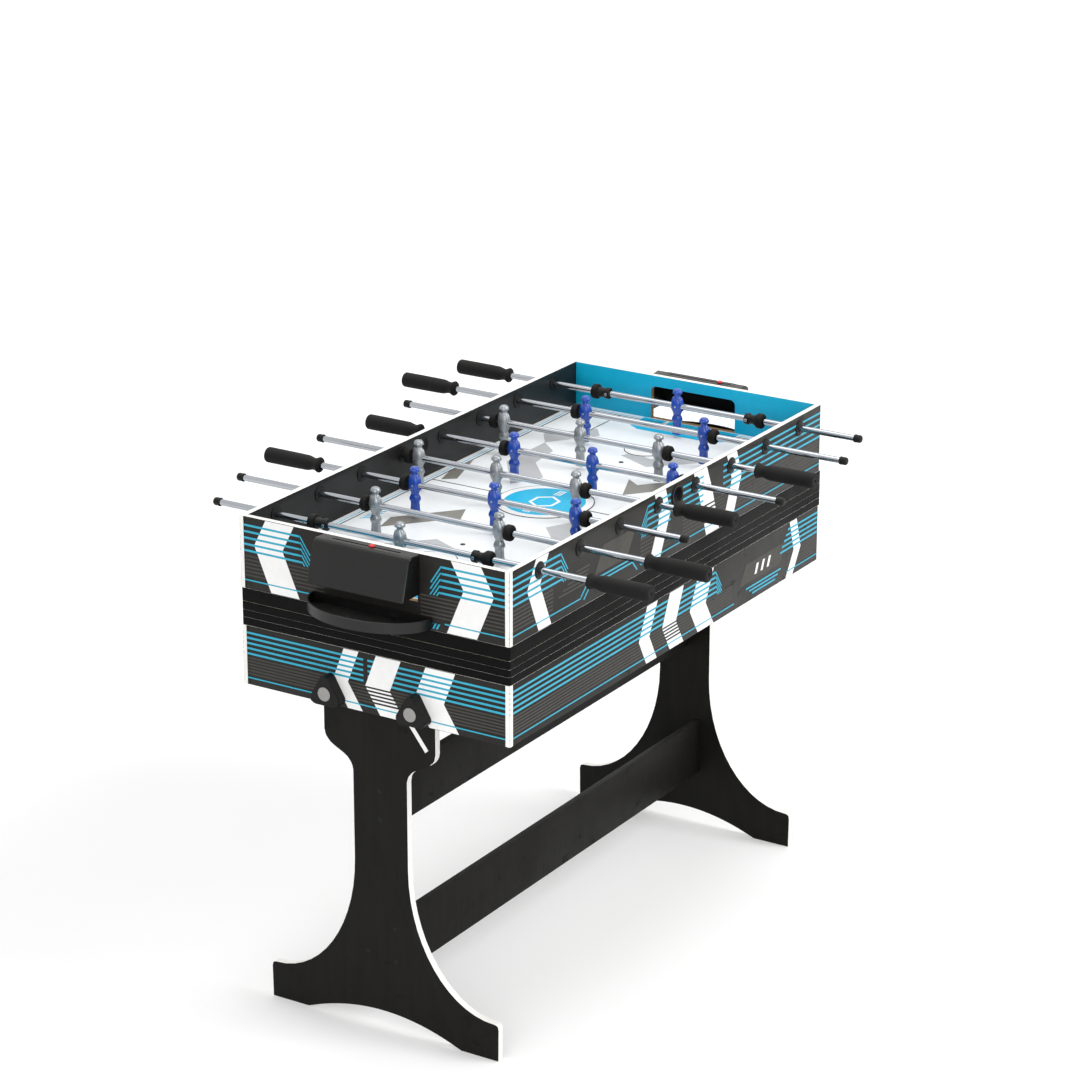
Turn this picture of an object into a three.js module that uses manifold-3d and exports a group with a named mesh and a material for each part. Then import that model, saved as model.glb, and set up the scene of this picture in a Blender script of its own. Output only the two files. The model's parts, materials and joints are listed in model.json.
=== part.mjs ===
// A folding multi game table: a trestle with a tilting pool cabinet, four loose game boards
// stacked on the cabinet's rim, and a table football box on top. Millimetres, +Z up, origin on
// the floor under the middle of the table. X runs along the table, Y across it.
import * as THREE from "three";
import { mergeVertices } from "three/addons/utils/BufferGeometryUtils.js";
import Module from "manifold-3d";

const wasm = await Module();
wasm.setup();

// Driving dimensions of the whole table
const tableLength = 1220;
const tableWidth = 610;
const seatGap = 0.3; // between two pieces that rest on each other
const runGap = 0.3; // all round a shaft in its hole
const cutOver = 2; // how far a cut runs past the faces it opens

// Leg panels and the boards that join them
const leg = {
  thickness: 15,
  sidePlay: 1, // leg panel to the cabinet's end board
  topHalfWidth: 128,
  topCorner: 12,
  shoulderHeight: 607, // floor to where the top's straight sides start
  shoulderToPivot: 90,
  topAbovePivot: 28,
  neckTop: 536,
  neckHalfWidth: 62,
  flareTop: 352,
  footHalfSpan: 267,
  footHeight: 77,
  footCorner: 10,
  padLength: 86,
  archHeight: 34,
  archRun: 48,
};
const upperStretcher = { thickness: 15, height: 112, bottom: 419, offset: 0 };
const lowerStretcher = { thickness: 15, height: 124, bottom: 125, offset: -32 };
const lowerLedge = { thickness: 15, depth: 88, bottom: 153 };

// Pool cabinet
const cabinet = { height: 122, board: 15, bedDepth: 42, bedThickness: 12 };
const cushion = {
  width: 38,
  topBelowRim: 5,
  noseHeight: 24,
  noseFace: 4,
  footWidth: 20,
  cornerMitre: 16,
  middleMitre: 9,
};
const pocket = {
  holeRadius: 27,
  wall: 3,
  block: 66, // side of the square corner block
  plate: 14, // height of the block below its top
  topBelowRim: 0.6,
  cupBelowBed: 34,
  mouthShare: 0.94, // width of the mouth over the width of the hole
};
const knob = {
  spacing: 196,
  aboveCabinetBottom: 29,
  lobeReach: 25,
  lobeRadius: 11,
  thickness: 24,
  discRadius: 14,
  discProud: 1.2,
  shankRadius: 6,
  blindDepth: 11, // how far the two lock shanks enter the end board
};

// Loose boards
const board = { corner: 4, rail: 20, sheet: 3 };
const whiteboard = { height: 16, topBevel: 1 };
const tennisBoard = { height: 15 };
const hockeyBoard = { height: 17, rim: 10, depth: 8 };
const hockeyGoal = {
  width: 190,
  depth: 62,
  height: 12.5,
  wall: 9,
  roof: 2.5,
  corner: 16,
  fromRim: 14,
};
const slingBoard = {
  height: 27,
  rim: 10,
  depth: 19,
  divider: 9,
  crossWall: -140, // middle of the wall between the two courts and the lane
};
const slingGate = { width: 72, height: 13 };

// Football box
const box = { height: 146, wall: 12, rodBelowRim: 26, fieldThickness: 6 };
const goalMouth = { width: 206, belowRim: 24, corner: 14 };
const rod = { radius: 6.35, toBoxEnd: 102.5, capRadius: 8.5, capLength: 16, capRound: 3 };
const bush = { flangeRadius: 17, outer: 4, inner: 3, lip: 1.5 };
const servePort = { radius: 16, ringRadius: 21 };
const stopRing = { radius: 16, thickness: 14, round: 2.5, fromMan: 23 };
const collar = { radius: 12, length: 28 };
const grip = {
  length: 132,
  radius: 16,
  neckRadius: 12.5,
  flare: 9,
  neck: 16,
  endRound: 4,
  hole: 2.4,
  holeDepth: 16,
};
const man = {
  headTop: 37.5,
  footBottom: 62.5,
  footWidth: 18,
  footDepth: 14,
  footTop: 34,
  ankle: 36,
  footClearance: 7.5, // foot to the playing field
};
const hood = { width: 217, topReach: 31, reach: 58, height: 81, wall: 2.5, edge: 5 };
const counter = {
  length: 150,
  slot: 4,
  inset: 15,
  bead: 11,
  beadHeight: 4.5,
  tail: 7,
  tailHeight: 2,
  nearScore: -12, // where the two beads stand, from the middle of the slot towards +Y
  farScore: -50,
};
const tray = { width: 272, reach: 88, height: 21, wall: 2.5, aboveBottom: 4 };

// How far a rod in its middle position stands out of the box on the grip's side and on the other
// side, and how far its outermost men are from the long walls. A keeper's rod has its stop rings at
// a set distance from the walls instead.
const rodTypes = {
  keeper: { men: 1, gripPast: 244, stubPast: 131, ringToWall: 93 },
  pair: { men: 2, gripPast: 295, stubPast: 169, manToWall: 150.5 },
  three: { men: 3, gripPast: 240, stubPast: 131, manToWall: 107 },
};
// The rods from the -X end: what team plays them, on which long side the grip is, and how far
// each stands off its middle position, towards +Y
const rods = [
  { type: "keeper", team: "silver", gripSide: -1, shift: 5 },
  { type: "pair", team: "silver", gripSide: -1, shift: 18 },
  { type: "three", team: "blue", gripSide: 1, shift: -20 },
  { type: "three", team: "silver", gripSide: -1, shift: 68 },
  { type: "three", team: "blue", gripSide: 1, shift: -68 },
  { type: "three", team: "silver", gripSide: -1, shift: 49 },
  { type: "pair", team: "blue", gripSide: 1, shift: -18 },
  { type: "keeper", team: "blue", gripSide: 1, shift: -14 },
];

// Places worked out from the sizes above
const halfLength = tableLength / 2;
const halfWidth = tableWidth / 2;
const pivotHeight = leg.shoulderHeight + leg.shoulderToPivot;
const cabinetBase = pivotHeight - knob.aboveCabinetBottom;
const rimHeight = cabinetBase + cabinet.height;
const legOuter = halfLength - cabinet.board - leg.sidePlay;
const legInner = legOuter - leg.thickness;
const cabinetInnerX = halfLength - cabinet.board;
const cabinetInnerY = halfWidth - cabinet.board;
const bedTop = cabinet.height - cabinet.bedDepth;
const whiteboardBase = rimHeight + seatGap;
const tennisBase = whiteboardBase + whiteboard.height + seatGap;
const hockeyBase = tennisBase + tennisBoard.height + seatGap;
const slingBase = hockeyBase + hockeyBoard.height + seatGap;
const boxBase = slingBase + slingBoard.height + seatGap;
const boxInnerX = halfLength - box.wall;
const boxInnerY = halfWidth - box.wall;
const rodHeight = box.height - box.rodBelowRim;
const fieldTop = rodHeight - man.footBottom - man.footClearance;

// Materials
const finish = {
  blackLaminate: { color: 0x2b2926, roughness: 0.5 },
  cloth: { color: 0xc8242a, roughness: 0.95 },
  blackPlastic: { color: 0x141414, roughness: 0.45 },
  whiteSheet: { color: 0xf2f2ee, roughness: 0.25 },
  greyBoard: { color: 0xa9adae, roughness: 0.55 },
  warmGrey: { color: 0x7f7a73, roughness: 0.4 },
  redPlastic: { color: 0xd7262b, roughness: 0.35 },
  field: { color: 0xeef1f1, roughness: 0.35 },
  silverMen: { color: 0x9a9d9f, roughness: 0.35, metalness: 0.4 },
  blueMen: { color: 0x1a3ca0, roughness: 0.3 },
  rubber: { color: 0x1b1a19, roughness: 0.85 },
};

const round = 12; // facets round a slim turned piece
const wideRound = 16; // facets round a wide hole, cup or disc
const alongX = new THREE.Vector3(1, 0, 0);
const alongY = new THREE.Vector3(0, 1, 0);
const alongZ = new THREE.Vector3(0, 0, 1);

// A closed three.js geometry as a solid that can be joined and cut.
function toSolid(geometry) {
  const bare = geometry.index ? geometry.toNonIndexed() : geometry.clone();
  bare.deleteAttribute("normal");
  bare.deleteAttribute("uv");
  const merged = mergeVertices(bare);
  const index = merged.index.array;
  const kept = [];
  for (let i = 0; i < index.length; i += 3) {
    const [a, b, c] = [index[i], index[i + 1], index[i + 2]];
    if (a !== b && b !== c && a !== c) kept.push(a, b, c);
  }
  const mesh = new wasm.Mesh({
    numProp: 3,
    vertProperties: merged.attributes.position.array,
    triVerts: new Uint32Array(kept),
  });
  return new wasm.Manifold(mesh);
}

// The solid back as a three.js geometry with flat-shaded normals.
function toGeometry(solid) {
  const mesh = solid.getMesh();
  const geometry = new THREE.BufferGeometry();
  geometry.setAttribute("position", new THREE.BufferAttribute(new Float32Array(mesh.vertProperties), 3));
  geometry.setIndex(new THREE.BufferAttribute(new Uint32Array(mesh.triVerts), 1));
  geometry.computeVertexNormals();
  return geometry;
}

// A block between two limits on each axis.
function block([x0, x1], [y0, y1], [z0, z1]) {
  const geometry = new THREE.BoxGeometry(x1 - x0, y1 - y0, z1 - z0);
  geometry.translate((x0 + x1) / 2, (y0 + y1) / 2, (z0 + z1) / 2);
  return toSolid(geometry);
}

function extruded(shape, depth, curveSegments) {
  return new THREE.ExtrudeGeometry(shape, { depth, bevelEnabled: false, curveSegments });
}

// An outline drawn in (y, z), run from x0 to x1.
function prismAlongX(shape, [x0, x1], curveSegments = 4) {
  const geometry = extruded(shape, x1 - x0, curveSegments);
  geometry.applyMatrix4(new THREE.Matrix4().makeBasis(alongY, alongZ, alongX));
  geometry.translate(x0, 0, 0);
  return toSolid(geometry);
}

// An outline drawn in (x, z), run from y0 to y1.
function prismAlongY(shape, [y0, y1], curveSegments = 4) {
  const geometry = extruded(shape, y1 - y0, curveSegments);
  geometry.applyMatrix4(new THREE.Matrix4().makeBasis(alongX, alongZ, alongY.clone().negate()));
  geometry.translate(0, y1, 0);
  return toSolid(geometry);
}

// An outline drawn in (x, y), run from z0 to z1.
function prismAlongZ(shape, [z0, z1], curveSegments = 4) {
  const geometry = extruded(shape, z1 - z0, curveSegments);
  geometry.translate(0, 0, z0);
  return toSolid(geometry);
}

// A profile of [radius, place along the axis] turned about the Y axis.
function turned(profile, facets = round) {
  const points = profile.map(([radius, along]) => new THREE.Vector2(radius, along));
  return toSolid(new THREE.LatheGeometry(points, facets));
}

function cylinderAlongY(radius, [y0, y1], facets = round) {
  return turned([[0, y0], [radius, y0], [radius, y1], [0, y1]], facets);
}

function cylinderAlongX(radius, [x0, x1], facets = round) {
  const geometry = new THREE.CylinderGeometry(radius, radius, x1 - x0, facets);
  geometry.rotateZ(Math.PI / 2);
  geometry.translate((x0 + x1) / 2, 0, 0);
  return toSolid(geometry);
}

function cylinderAlongZ(radius, [z0, z1], facets = round) {
  const geometry = new THREE.CylinderGeometry(radius, radius, z1 - z0, facets);
  geometry.rotateX(Math.PI / 2);
  geometry.translate(0, 0, (z0 + z1) / 2);
  return toSolid(geometry);
}

function polygon(points) {
  return new THREE.Shape(points.map(([x, y]) => new THREE.Vector2(x, y)));
}

// A rectangle about the origin with rounded corners.
function roundedRectangle(width, height, radius) {
  const shape = new THREE.Shape();
  const [w, h] = [width / 2 - radius, height / 2 - radius];
  const quarter = Math.PI / 2;
  shape.absarc(w, -h, radius, -quarter, 0);
  shape.absarc(w, h, radius, 0, quarter);
  shape.absarc(-w, h, radius, quarter, 2 * quarter);
  shape.absarc(-w, -h, radius, 2 * quarter, 3 * quarter);
  return shape;
}

// A named mesh in its group.
function addPiece(group, name, solid, look, place = [0, 0, 0], turnZ = 0) {
  const mesh = new THREE.Mesh(toGeometry(solid), new THREE.MeshStandardMaterial(finish[look]));
  mesh.name = name;
  mesh.position.set(...place);
  mesh.rotation.z = turnZ;
  group.add(mesh);
}

function addLayer(table, base) {
  const layer = new THREE.Group();
  layer.position.z = base;
  table.add(layer);
  return layer;
}

const ends = [
  { name: "near", side: -1 },
  { name: "far", side: 1 },
];
const longSides = [
  { name: "front", side: -1 },
  { name: "back", side: 1 },
];

// The limits of a board that lies at an end or a long side, given from the middle outwards.
function span(side, inner, outer) {
  return side < 0 ? [-outer, -inner] : [inner, outer];
}

// Trestle

// One half of a leg panel's outline, from the middle of the arch round to the middle of the top.
function legHalfOutline() {
  const curveShare = 0.55; // handle length of a quarter ellipse
  const padInner = leg.footHalfSpan - leg.padLength;
  const top = pivotHeight + leg.topAbovePivot;
  const footEnd = leg.footHalfSpan - leg.footCorner;
  const flareWidth = footEnd - leg.neckHalfWidth;
  const flareRise = leg.flareTop - leg.footHeight;
  const shoulderRise = leg.shoulderHeight - leg.neckTop;
  const path = new THREE.Path();
  path.moveTo(0, leg.archHeight);
  path.lineTo(padInner - leg.archRun, leg.archHeight);
  path.quadraticCurveTo(padInner - leg.archRun / 3, leg.archHeight, padInner, 0);
  path.lineTo(leg.footHalfSpan, 0);
  path.lineTo(leg.footHalfSpan, leg.footHeight - leg.footCorner);
  path.quadraticCurveTo(leg.footHalfSpan, leg.footHeight, footEnd, leg.footHeight);
  path.bezierCurveTo(
    footEnd - curveShare * flareWidth,
    leg.footHeight,
    leg.neckHalfWidth,
    leg.flareTop - curveShare * flareRise,
    leg.neckHalfWidth,
    leg.flareTop,
  );
  path.lineTo(leg.neckHalfWidth, leg.neckTop);
  path.bezierCurveTo(
    leg.neckHalfWidth,
    leg.neckTop + curveShare * shoulderRise,
    leg.topHalfWidth,
    leg.shoulderHeight - curveShare * shoulderRise,
    leg.topHalfWidth,
    leg.shoulderHeight,
  );
  path.lineTo(leg.topHalfWidth, top - leg.topCorner);
  path.quadraticCurveTo(leg.topHalfWidth, top, leg.topHalfWidth - leg.topCorner, top);
  path.lineTo(0, top);
  return path.getPoints(6);
}

function legPanel(side) {
  const half = legHalfOutline();
  const mirrored = half
    .slice(1, -1)
    .reverse()
    .map((p) => new THREE.Vector2(-p.x, p.y));
  let panel = prismAlongX(new THREE.Shape([...half, ...mirrored]), span(side, legInner, legOuter));
  const through = span(side, legInner - cutOver, legOuter + cutOver);
  for (const y of [-knob.spacing / 2, knob.spacing / 2]) {
    const hole = cylinderAlongX(knob.shankRadius + runGap, through);
    panel = panel.subtract(hole.translate([0, y, pivotHeight]));
  }
  return panel;
}

function buildTrestle(table) {
  const trestle = addLayer(table, 0);
  for (const { name, side } of ends) {
    addPiece(trestle, `${name}_leg_panel`, legPanel(side), "blackLaminate");
  }
  const lengthwise = [-legInner + seatGap, legInner - seatGap];
  for (const [name, rail] of [
    ["upper_stretcher", upperStretcher],
    ["lower_stretcher", lowerStretcher],
  ]) {
    const crosswise = [rail.offset - rail.thickness / 2, rail.offset + rail.thickness / 2];
    const upright = block(lengthwise, crosswise, [rail.bottom, rail.bottom + rail.height]);
    addPiece(trestle, name, upright, "blackLaminate");
  }
  const ledgeStart = lowerStretcher.offset + lowerStretcher.thickness / 2 + seatGap;
  const ledge = block(
    lengthwise,
    [ledgeStart, ledgeStart + lowerLedge.depth],
    [lowerLedge.bottom, lowerLedge.bottom + lowerLedge.thickness],
  );
  addPiece(trestle, "lower_ledge", ledge, "blackLaminate");
}

// Pool cabinet

// Where the six pockets stand: middle of the hole and the turn that points the mouth inwards.
function pocketPlaces() {
  const x = cabinetInnerX - pocketCentre();
  const y = cabinetInnerY - pocketCentre();
  const quarter = Math.PI / 2;
  return [
    { name: "near_front_pocket", kind: "corner", x: -x, y: -y, turn: 0 },
    { name: "far_front_pocket", kind: "corner", x, y: -y, turn: quarter },
    { name: "far_back_pocket", kind: "corner", x, y, turn: 2 * quarter },
    { name: "near_back_pocket", kind: "corner", x: -x, y, turn: 3 * quarter },
    { name: "middle_front_pocket", kind: "middle", x: 0, y: -y, turn: 0 },
    { name: "middle_back_pocket", kind: "middle", x: 0, y, turn: 2 * quarter },
  ];
}

// From the inner faces of the cabinet's boards to the middle of a pocket.
function pocketCentre() {
  return pocket.holeRadius + pocket.wall + 2 * seatGap;
}

// A moulded pocket about the middle of its hole, with its mouth towards the table: a cup that
// hangs through the bed under a block that fills the corner, or the gap between two cushions.
function pocketSolid(kind) {
  const outerRadius = pocket.holeRadius + pocket.wall;
  const top = cabinet.height - pocket.topBelowRim;
  const cupBottom = bedTop - cabinet.bedThickness - pocket.cupBelowBed;
  const back = pocketCentre() - seatGap;
  const reach = kind === "corner" ? pocket.block - back : cushion.width - back;
  const sideways = kind === "corner" ? [-back, reach] : [-pocket.block / 2, pocket.block / 2];
  const plate = block(sideways, [-back, reach], [top - pocket.plate, top]);
  const collarWall = cylinderAlongZ(outerRadius, [bedTop - pocket.wall, top], wideRound);
  const overBed = collarWall.intersect(block(sideways, [-back, reach], [bedTop - cutOver, top]));
  const cup = cylinderAlongZ(outerRadius, [cupBottom, bedTop], wideRound).add(overBed);
  const hole = cylinderAlongZ(pocket.holeRadius, [cupBottom + pocket.wall, top + cutOver], wideRound);
  const mouthHalf = pocket.holeRadius * pocket.mouthShare;
  const mouth = new THREE.BoxGeometry(2 * mouthHalf, 2 * pocket.block, top + cutOver - bedTop);
  mouth.translate(0, pocket.block, (top + cutOver + bedTop) / 2);
  if (kind === "corner") mouth.rotateZ(-Math.PI / 4);
  return cup.add(plate).subtract(hole).subtract(toSolid(mouth));
}

// A cushion that runs along +X from the origin with its back at y = 0 and its nose towards +Y.
function cushionSolid(length, startMitre, endMitre) {
  const height = cabinet.bedDepth - cushion.topBelowRim;
  const nose = cushion.noseHeight;
  const profile = polygon([
    [0, 0],
    [cushion.footWidth, 0],
    [cushion.width, nose - cushion.noseFace],
    [cushion.width, nose],
    [cushion.width - cushion.noseFace, nose + cushion.noseFace],
    [0, height],
  ]);
  const bar = prismAlongX(profile, [0, length]);
  const plan = polygon([
    [0, -cutOver],
    [length, -cutOver],
    [length, 0],
    [length - endMitre, cushion.width + cutOver],
    [startMitre, cushion.width + cutOver],
    [0, 0],
  ]);
  return bar.intersect(prismAlongZ(plan, [-cutOver, height + cutOver]));
}

function addCushions(group) {
  const lift = bedTop + seatGap;
  const x = cabinetInnerX - pocket.block - 2 * seatGap;
  const y = cabinetInnerY - pocket.block - 2 * seatGap;
  const middle = pocket.block / 2 + seatGap;
  const backX = cabinetInnerX - seatGap;
  const backY = cabinetInnerY - seatGap;
  const { cornerMitre, middleMitre } = cushion;
  const fromCorner = cushionSolid(x - middle, cornerMitre, middleMitre);
  const fromMiddle = cushionSolid(x - middle, middleMitre, cornerMitre);
  const endCushion = cushionSolid(2 * y, cornerMitre, cornerMitre);
  addPiece(group, "near_front_cushion", fromCorner, "cloth", [-x, -backY, lift]);
  addPiece(group, "far_front_cushion", fromMiddle, "cloth", [middle, -backY, lift]);
  addPiece(group, "far_back_cushion", fromCorner, "cloth", [x, backY, lift], Math.PI);
  addPiece(group, "near_back_cushion", fromMiddle, "cloth", [-middle, backY, lift], Math.PI);
  addPiece(group, "near_end_cushion", endCushion, "cloth", [-backX, y, lift], -Math.PI / 2);
  addPiece(group, "far_end_cushion", endCushion, "cloth", [backX, -y, lift], Math.PI / 2);
}

// The two knobs of an end: where each stands across the table, and where its hole in the end
// board starts.
function knobPlaces() {
  const blindEnd = halfLength - knob.blindDepth - seatGap;
  return [
    { role: "pivot", y: -knob.spacing / 2, depth: cabinetInnerX - cutOver },
    { role: "lock", y: knob.spacing / 2, depth: blindEnd },
  ];
}

// A triangular knob on the outside of an end board. The pivot pair turns in the leg panel, and
// the lock pair ends inside the board.
function knobSolid(side, isPivot) {
  const outline = new THREE.Shape();
  for (let i = 0; i < 3; i += 1) {
    const angle = Math.PI / 2 + (i * 2 * Math.PI) / 3;
    const [cx, cy] = [knob.lobeReach * Math.cos(angle), knob.lobeReach * Math.sin(angle)];
    outline.absarc(cx, cy, knob.lobeRadius, angle - Math.PI / 3, angle + Math.PI / 3);
  }
  const face = halfLength + seatGap;
  const front = face + knob.thickness;
  const shankEnd = isPivot ? legInner : halfLength - knob.blindDepth;
  const body = prismAlongX(outline, span(side, face, front), 3);
  const discEnds = span(side, front - knob.discProud, front + knob.discProud);
  const disc = cylinderAlongX(knob.discRadius, discEnds, wideRound);
  const shank = cylinderAlongX(knob.shankRadius, span(side, shankEnd, face + knob.discProud));
  return body.add(disc).add(shank);
}

// What the bed leaves open round a pocket's cup: rounded towards the table, and open to the end
// board (toX) and the side board (toY).
function bedNotch(kind, toX, toY) {
  const half = pocket.holeRadius + pocket.wall + seatGap;
  const beyond = half + cutOver;
  const through = [bedTop - cabinet.bedThickness - cutOver, bedTop + cutOver];
  const outTo = (direction, from) => (direction < 0 ? [-beyond, from] : [-from, beyond]);
  const cup = cylinderAlongZ(half, through, wideRound);
  const toSide = block(kind === "corner" ? outTo(toX, half) : [-half, half], outTo(toY, 0), through);
  if (kind === "middle") return cup.add(toSide);
  return cup.add(toSide).add(block(outTo(toX, 0), outTo(toY, half), through));
}

function buildCabinet(table) {
  const group = addLayer(table, cabinetBase);
  const full = [0, cabinet.height];
  for (const { name, side } of longSides) {
    const apron = block([-halfLength, halfLength], span(side, cabinetInnerY, halfWidth), full);
    addPiece(group, `${name}_apron`, apron, "blackLaminate");
  }
  const between = cabinetInnerY - seatGap;
  for (const { name, side } of ends) {
    let apron = block(span(side, cabinetInnerX, halfLength), [-between, between], full);
    for (const { depth, y } of knobPlaces()) {
      const hole = cylinderAlongX(knob.shankRadius + runGap, span(side, depth, halfLength + cutOver));
      apron = apron.subtract(hole.translate([0, y, knob.aboveCabinetBottom]));
    }
    addPiece(group, `${name}_end_apron`, apron, "blackLaminate");
  }
  const [bedX, bedY] = [cabinetInnerX - seatGap, cabinetInnerY - seatGap];
  let bed = block([-bedX, bedX], [-bedY, bedY], [bedTop - cabinet.bedThickness, bedTop]);
  for (const { kind, x, y } of pocketPlaces()) {
    const notch = bedNotch(kind, Math.sign(x), Math.sign(y));
    bed = bed.subtract(notch.translate([x, y, 0]));
  }
  addPiece(group, "pool_bed", bed, "cloth");
  addCushions(group);
  for (const { name, kind, x, y, turn } of pocketPlaces())
    addPiece(group, name, pocketSolid(kind), "blackPlastic", [x, y, 0], turn);
  for (const { name, side } of ends) {
    for (const { role, y } of knobPlaces()) {
      const solid = knobSolid(side, role === "pivot");
      addPiece(group, `${name}_${role}_knob`, solid, "blackPlastic", [0, y, knob.aboveCabinetBottom]);
    }
  }
}

// Loose boards

// A board with rounded corners, taken in by inset all round.
function slab(height, inset = 0) {
  const [length, width] = [tableLength - 2 * inset, tableWidth - 2 * inset];
  return prismAlongZ(roundedRectangle(length, width, board.corner - inset), [0, height], 3);
}

// A board with the hollow that its edge rails leave underneath.
function railedSlab(height, hollow) {
  const [x, y] = [halfLength - board.rail, halfWidth - board.rail];
  return slab(height).subtract(block([-x, x], [-y, y], [-cutOver, hollow]));
}

function buildWhiteboard(table) {
  const { height, topBevel } = whiteboard;
  const solid = wasm.Manifold.hull([slab(height - topBevel), slab(height, topBevel)]);
  addPiece(addLayer(table, whiteboardBase), "whiteboard", solid, "whiteSheet");
}

function buildTennisBoard(table) {
  const solid = railedSlab(tennisBoard.height, tennisBoard.height - board.sheet);
  addPiece(addLayer(table, tennisBase), "tennis_board", solid, "greyBoard");
}

// A low goal that stands inside the rim with its mouth towards the middle of the board.
function hockeyGoalSolid(side) {
  const { width, depth, height, wall, roof, corner } = hockeyGoal;
  const outline = prismAlongZ(roundedRectangle(depth, width, corner), [0, height], 4);
  const squareFront = block([0, depth / 2], [-width / 2, width / 2], [0, height]);
  const mouth = block(
    [wall - depth / 2, depth / 2 + cutOver],
    [wall - width / 2, width / 2 - wall],
    [-cutOver, height - roof],
  );
  const goal = outline.add(squareFront).subtract(mouth);
  const middle = halfLength - hockeyBoard.rim - hockeyGoal.fromRim - depth / 2;
  const facing = side < 0 ? goal : goal.rotate([0, 0, 180]);
  return facing.translate([side * middle, 0, 0]);
}

function buildHockeyBoard(table) {
  const { height, rim, depth } = hockeyBoard;
  const group = addLayer(table, hockeyBase);
  const [x, y] = [halfLength - rim, halfWidth - rim];
  const floor = height - depth;
  const trayCut = block([-x, x], [-y, y], [floor, height + cutOver]);
  addPiece(group, "hockey_board", railedSlab(height, floor - board.sheet).subtract(trayCut), "warmGrey");
  for (const { name, side } of ends) {
    const goal = hockeyGoalSolid(side);
    addPiece(group, `${name}_hockey_goal`, goal, "redPlastic", [0, 0, floor + seatGap]);
  }
}

function buildSlingBoard(table) {
  const { height, rim, depth, divider, crossWall } = slingBoard;
  const group = addLayer(table, slingBase);
  const floor = height - depth;
  const [x, y] = [halfLength - rim, halfWidth - rim];
  let solid = railedSlab(height, floor - board.sheet);
  const courts = [-x, crossWall - divider / 2];
  const lane = [crossWall + divider / 2, x];
  for (const lengthwise of [courts, lane]) {
    solid = solid.subtract(block(lengthwise, [-y, y], [floor, height + cutOver]));
  }
  addPiece(group, "sling_board", solid, "warmGrey");
  const dividerX = [courts[0] + seatGap, courts[1] - seatGap];
  const middle = (dividerX[0] + dividerX[1]) / 2;
  const halfGate = slingGate.width / 2;
  const lengthwise = block(dividerX, [-divider / 2, divider / 2], [floor + seatGap, height]);
  const gateTop = floor + slingGate.height;
  const gate = block([middle - halfGate, middle + halfGate], [-divider, divider], [0, gateTop]);
  addPiece(group, "sling_divider", lengthwise.subtract(gate), "blackPlastic");
}

// Football box

function rodX(index) {
  const pitch = (tableLength - 2 * rod.toBoxEnd) / (rods.length - 1);
  return (index - (rods.length - 1) / 2) * pitch;
}

// A long wall with the eight rod bushes and the serving port pressed into it.
function longWall(side) {
  const out = (y) => side * y;
  let wall = block([-halfLength, halfLength], span(side, boxInnerY, halfWidth), [0, box.height]);
  const bushProfile = [
    [0, boxInnerY - bush.inner],
    [bush.flangeRadius, boxInnerY - bush.inner],
    [bush.flangeRadius, halfWidth + bush.outer - bush.lip],
    [bush.flangeRadius - bush.lip, halfWidth + bush.outer],
    [0, halfWidth + bush.outer],
  ];
  const oriented = side < 0 ? bushProfile.map(([r, y]) => [r, out(y)]).reverse() : bushProfile;
  const bushSolid = turned(oriented);
  const bore = span(side, boxInnerY - bush.inner - cutOver, halfWidth + bush.outer + cutOver);
  const boreSolid = cylinderAlongY(rod.radius + runGap, bore);
  for (let i = 0; i < rods.length; i += 1) {
    const place = [rodX(i), 0, rodHeight];
    wall = wall.add(bushSolid.translate(place)).subtract(boreSolid.translate(place));
  }
  const atRods = [0, 0, rodHeight];
  const ringEnds = span(side, boxInnerY - bush.lip, halfWidth + bush.inner);
  const ring = cylinderAlongY(servePort.ringRadius, ringEnds, wideRound);
  const port = cylinderAlongY(servePort.radius, bore, wideRound);
  return wall.add(ring.translate(atRods)).subtract(port.translate(atRods));
}

function endWall(side) {
  const between = boxInnerY - seatGap;
  const wall = block(span(side, boxInnerX, halfLength), [-between, between], [0, box.height]);
  const mouthTop = box.height - goalMouth.belowRim;
  const halfMouth = goalMouth.width / 2;
  const outline = new THREE.Shape();
  outline.moveTo(-halfMouth, fieldTop);
  outline.lineTo(halfMouth, fieldTop);
  outline.lineTo(halfMouth, mouthTop - goalMouth.corner);
  outline.quadraticCurveTo(halfMouth, mouthTop, halfMouth - goalMouth.corner, mouthTop);
  outline.lineTo(goalMouth.corner - halfMouth, mouthTop);
  outline.quadraticCurveTo(-halfMouth, mouthTop, -halfMouth, mouthTop - goalMouth.corner);
  return wall.subtract(prismAlongX(outline, span(side, boxInnerX - cutOver, halfLength + cutOver)));
}

// The hood that turns the ball down outside the goal, open underneath and towards the wall, with
// the slot of the score counter in its top.
function hoodSolid(side) {
  const wallFace = halfLength + seatGap;
  const top = box.height;
  const bottom = box.height - hood.height;
  const halfHood = hood.width / 2;
  const outward = (points) => polygon(points.map(([d, z]) => [side * (wallFace + d), z]));
  const outer = outward([
    [0, bottom],
    [hood.reach, bottom],
    [hood.topReach + hood.edge / 2, top - hood.edge],
    [hood.topReach - hood.edge / 2, top],
    [0, top],
  ]);
  const t = hood.wall;
  const inner = outward([
    [-cutOver, bottom - cutOver],
    [hood.reach - t, bottom - cutOver],
    [hood.reach - t, bottom],
    [hood.topReach + hood.edge / 2 - t, top - hood.edge - t / 2],
    [hood.topReach - hood.edge / 2 - t / 2, top - t],
    [-cutOver, top - t],
  ]);
  const inside = prismAlongY(inner, [t - halfHood, halfHood - t]);
  const shell = prismAlongY(outer, [-halfHood, halfHood]).subtract(inside);
  const slotMiddle = wallFace + counter.inset;
  const slot = block(
    span(side, slotMiddle - counter.slot / 2, slotMiddle + counter.slot / 2),
    [-counter.length / 2, counter.length / 2],
    [top - t - cutOver, top + cutOver],
  );
  return shell.subtract(slot);
}

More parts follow.
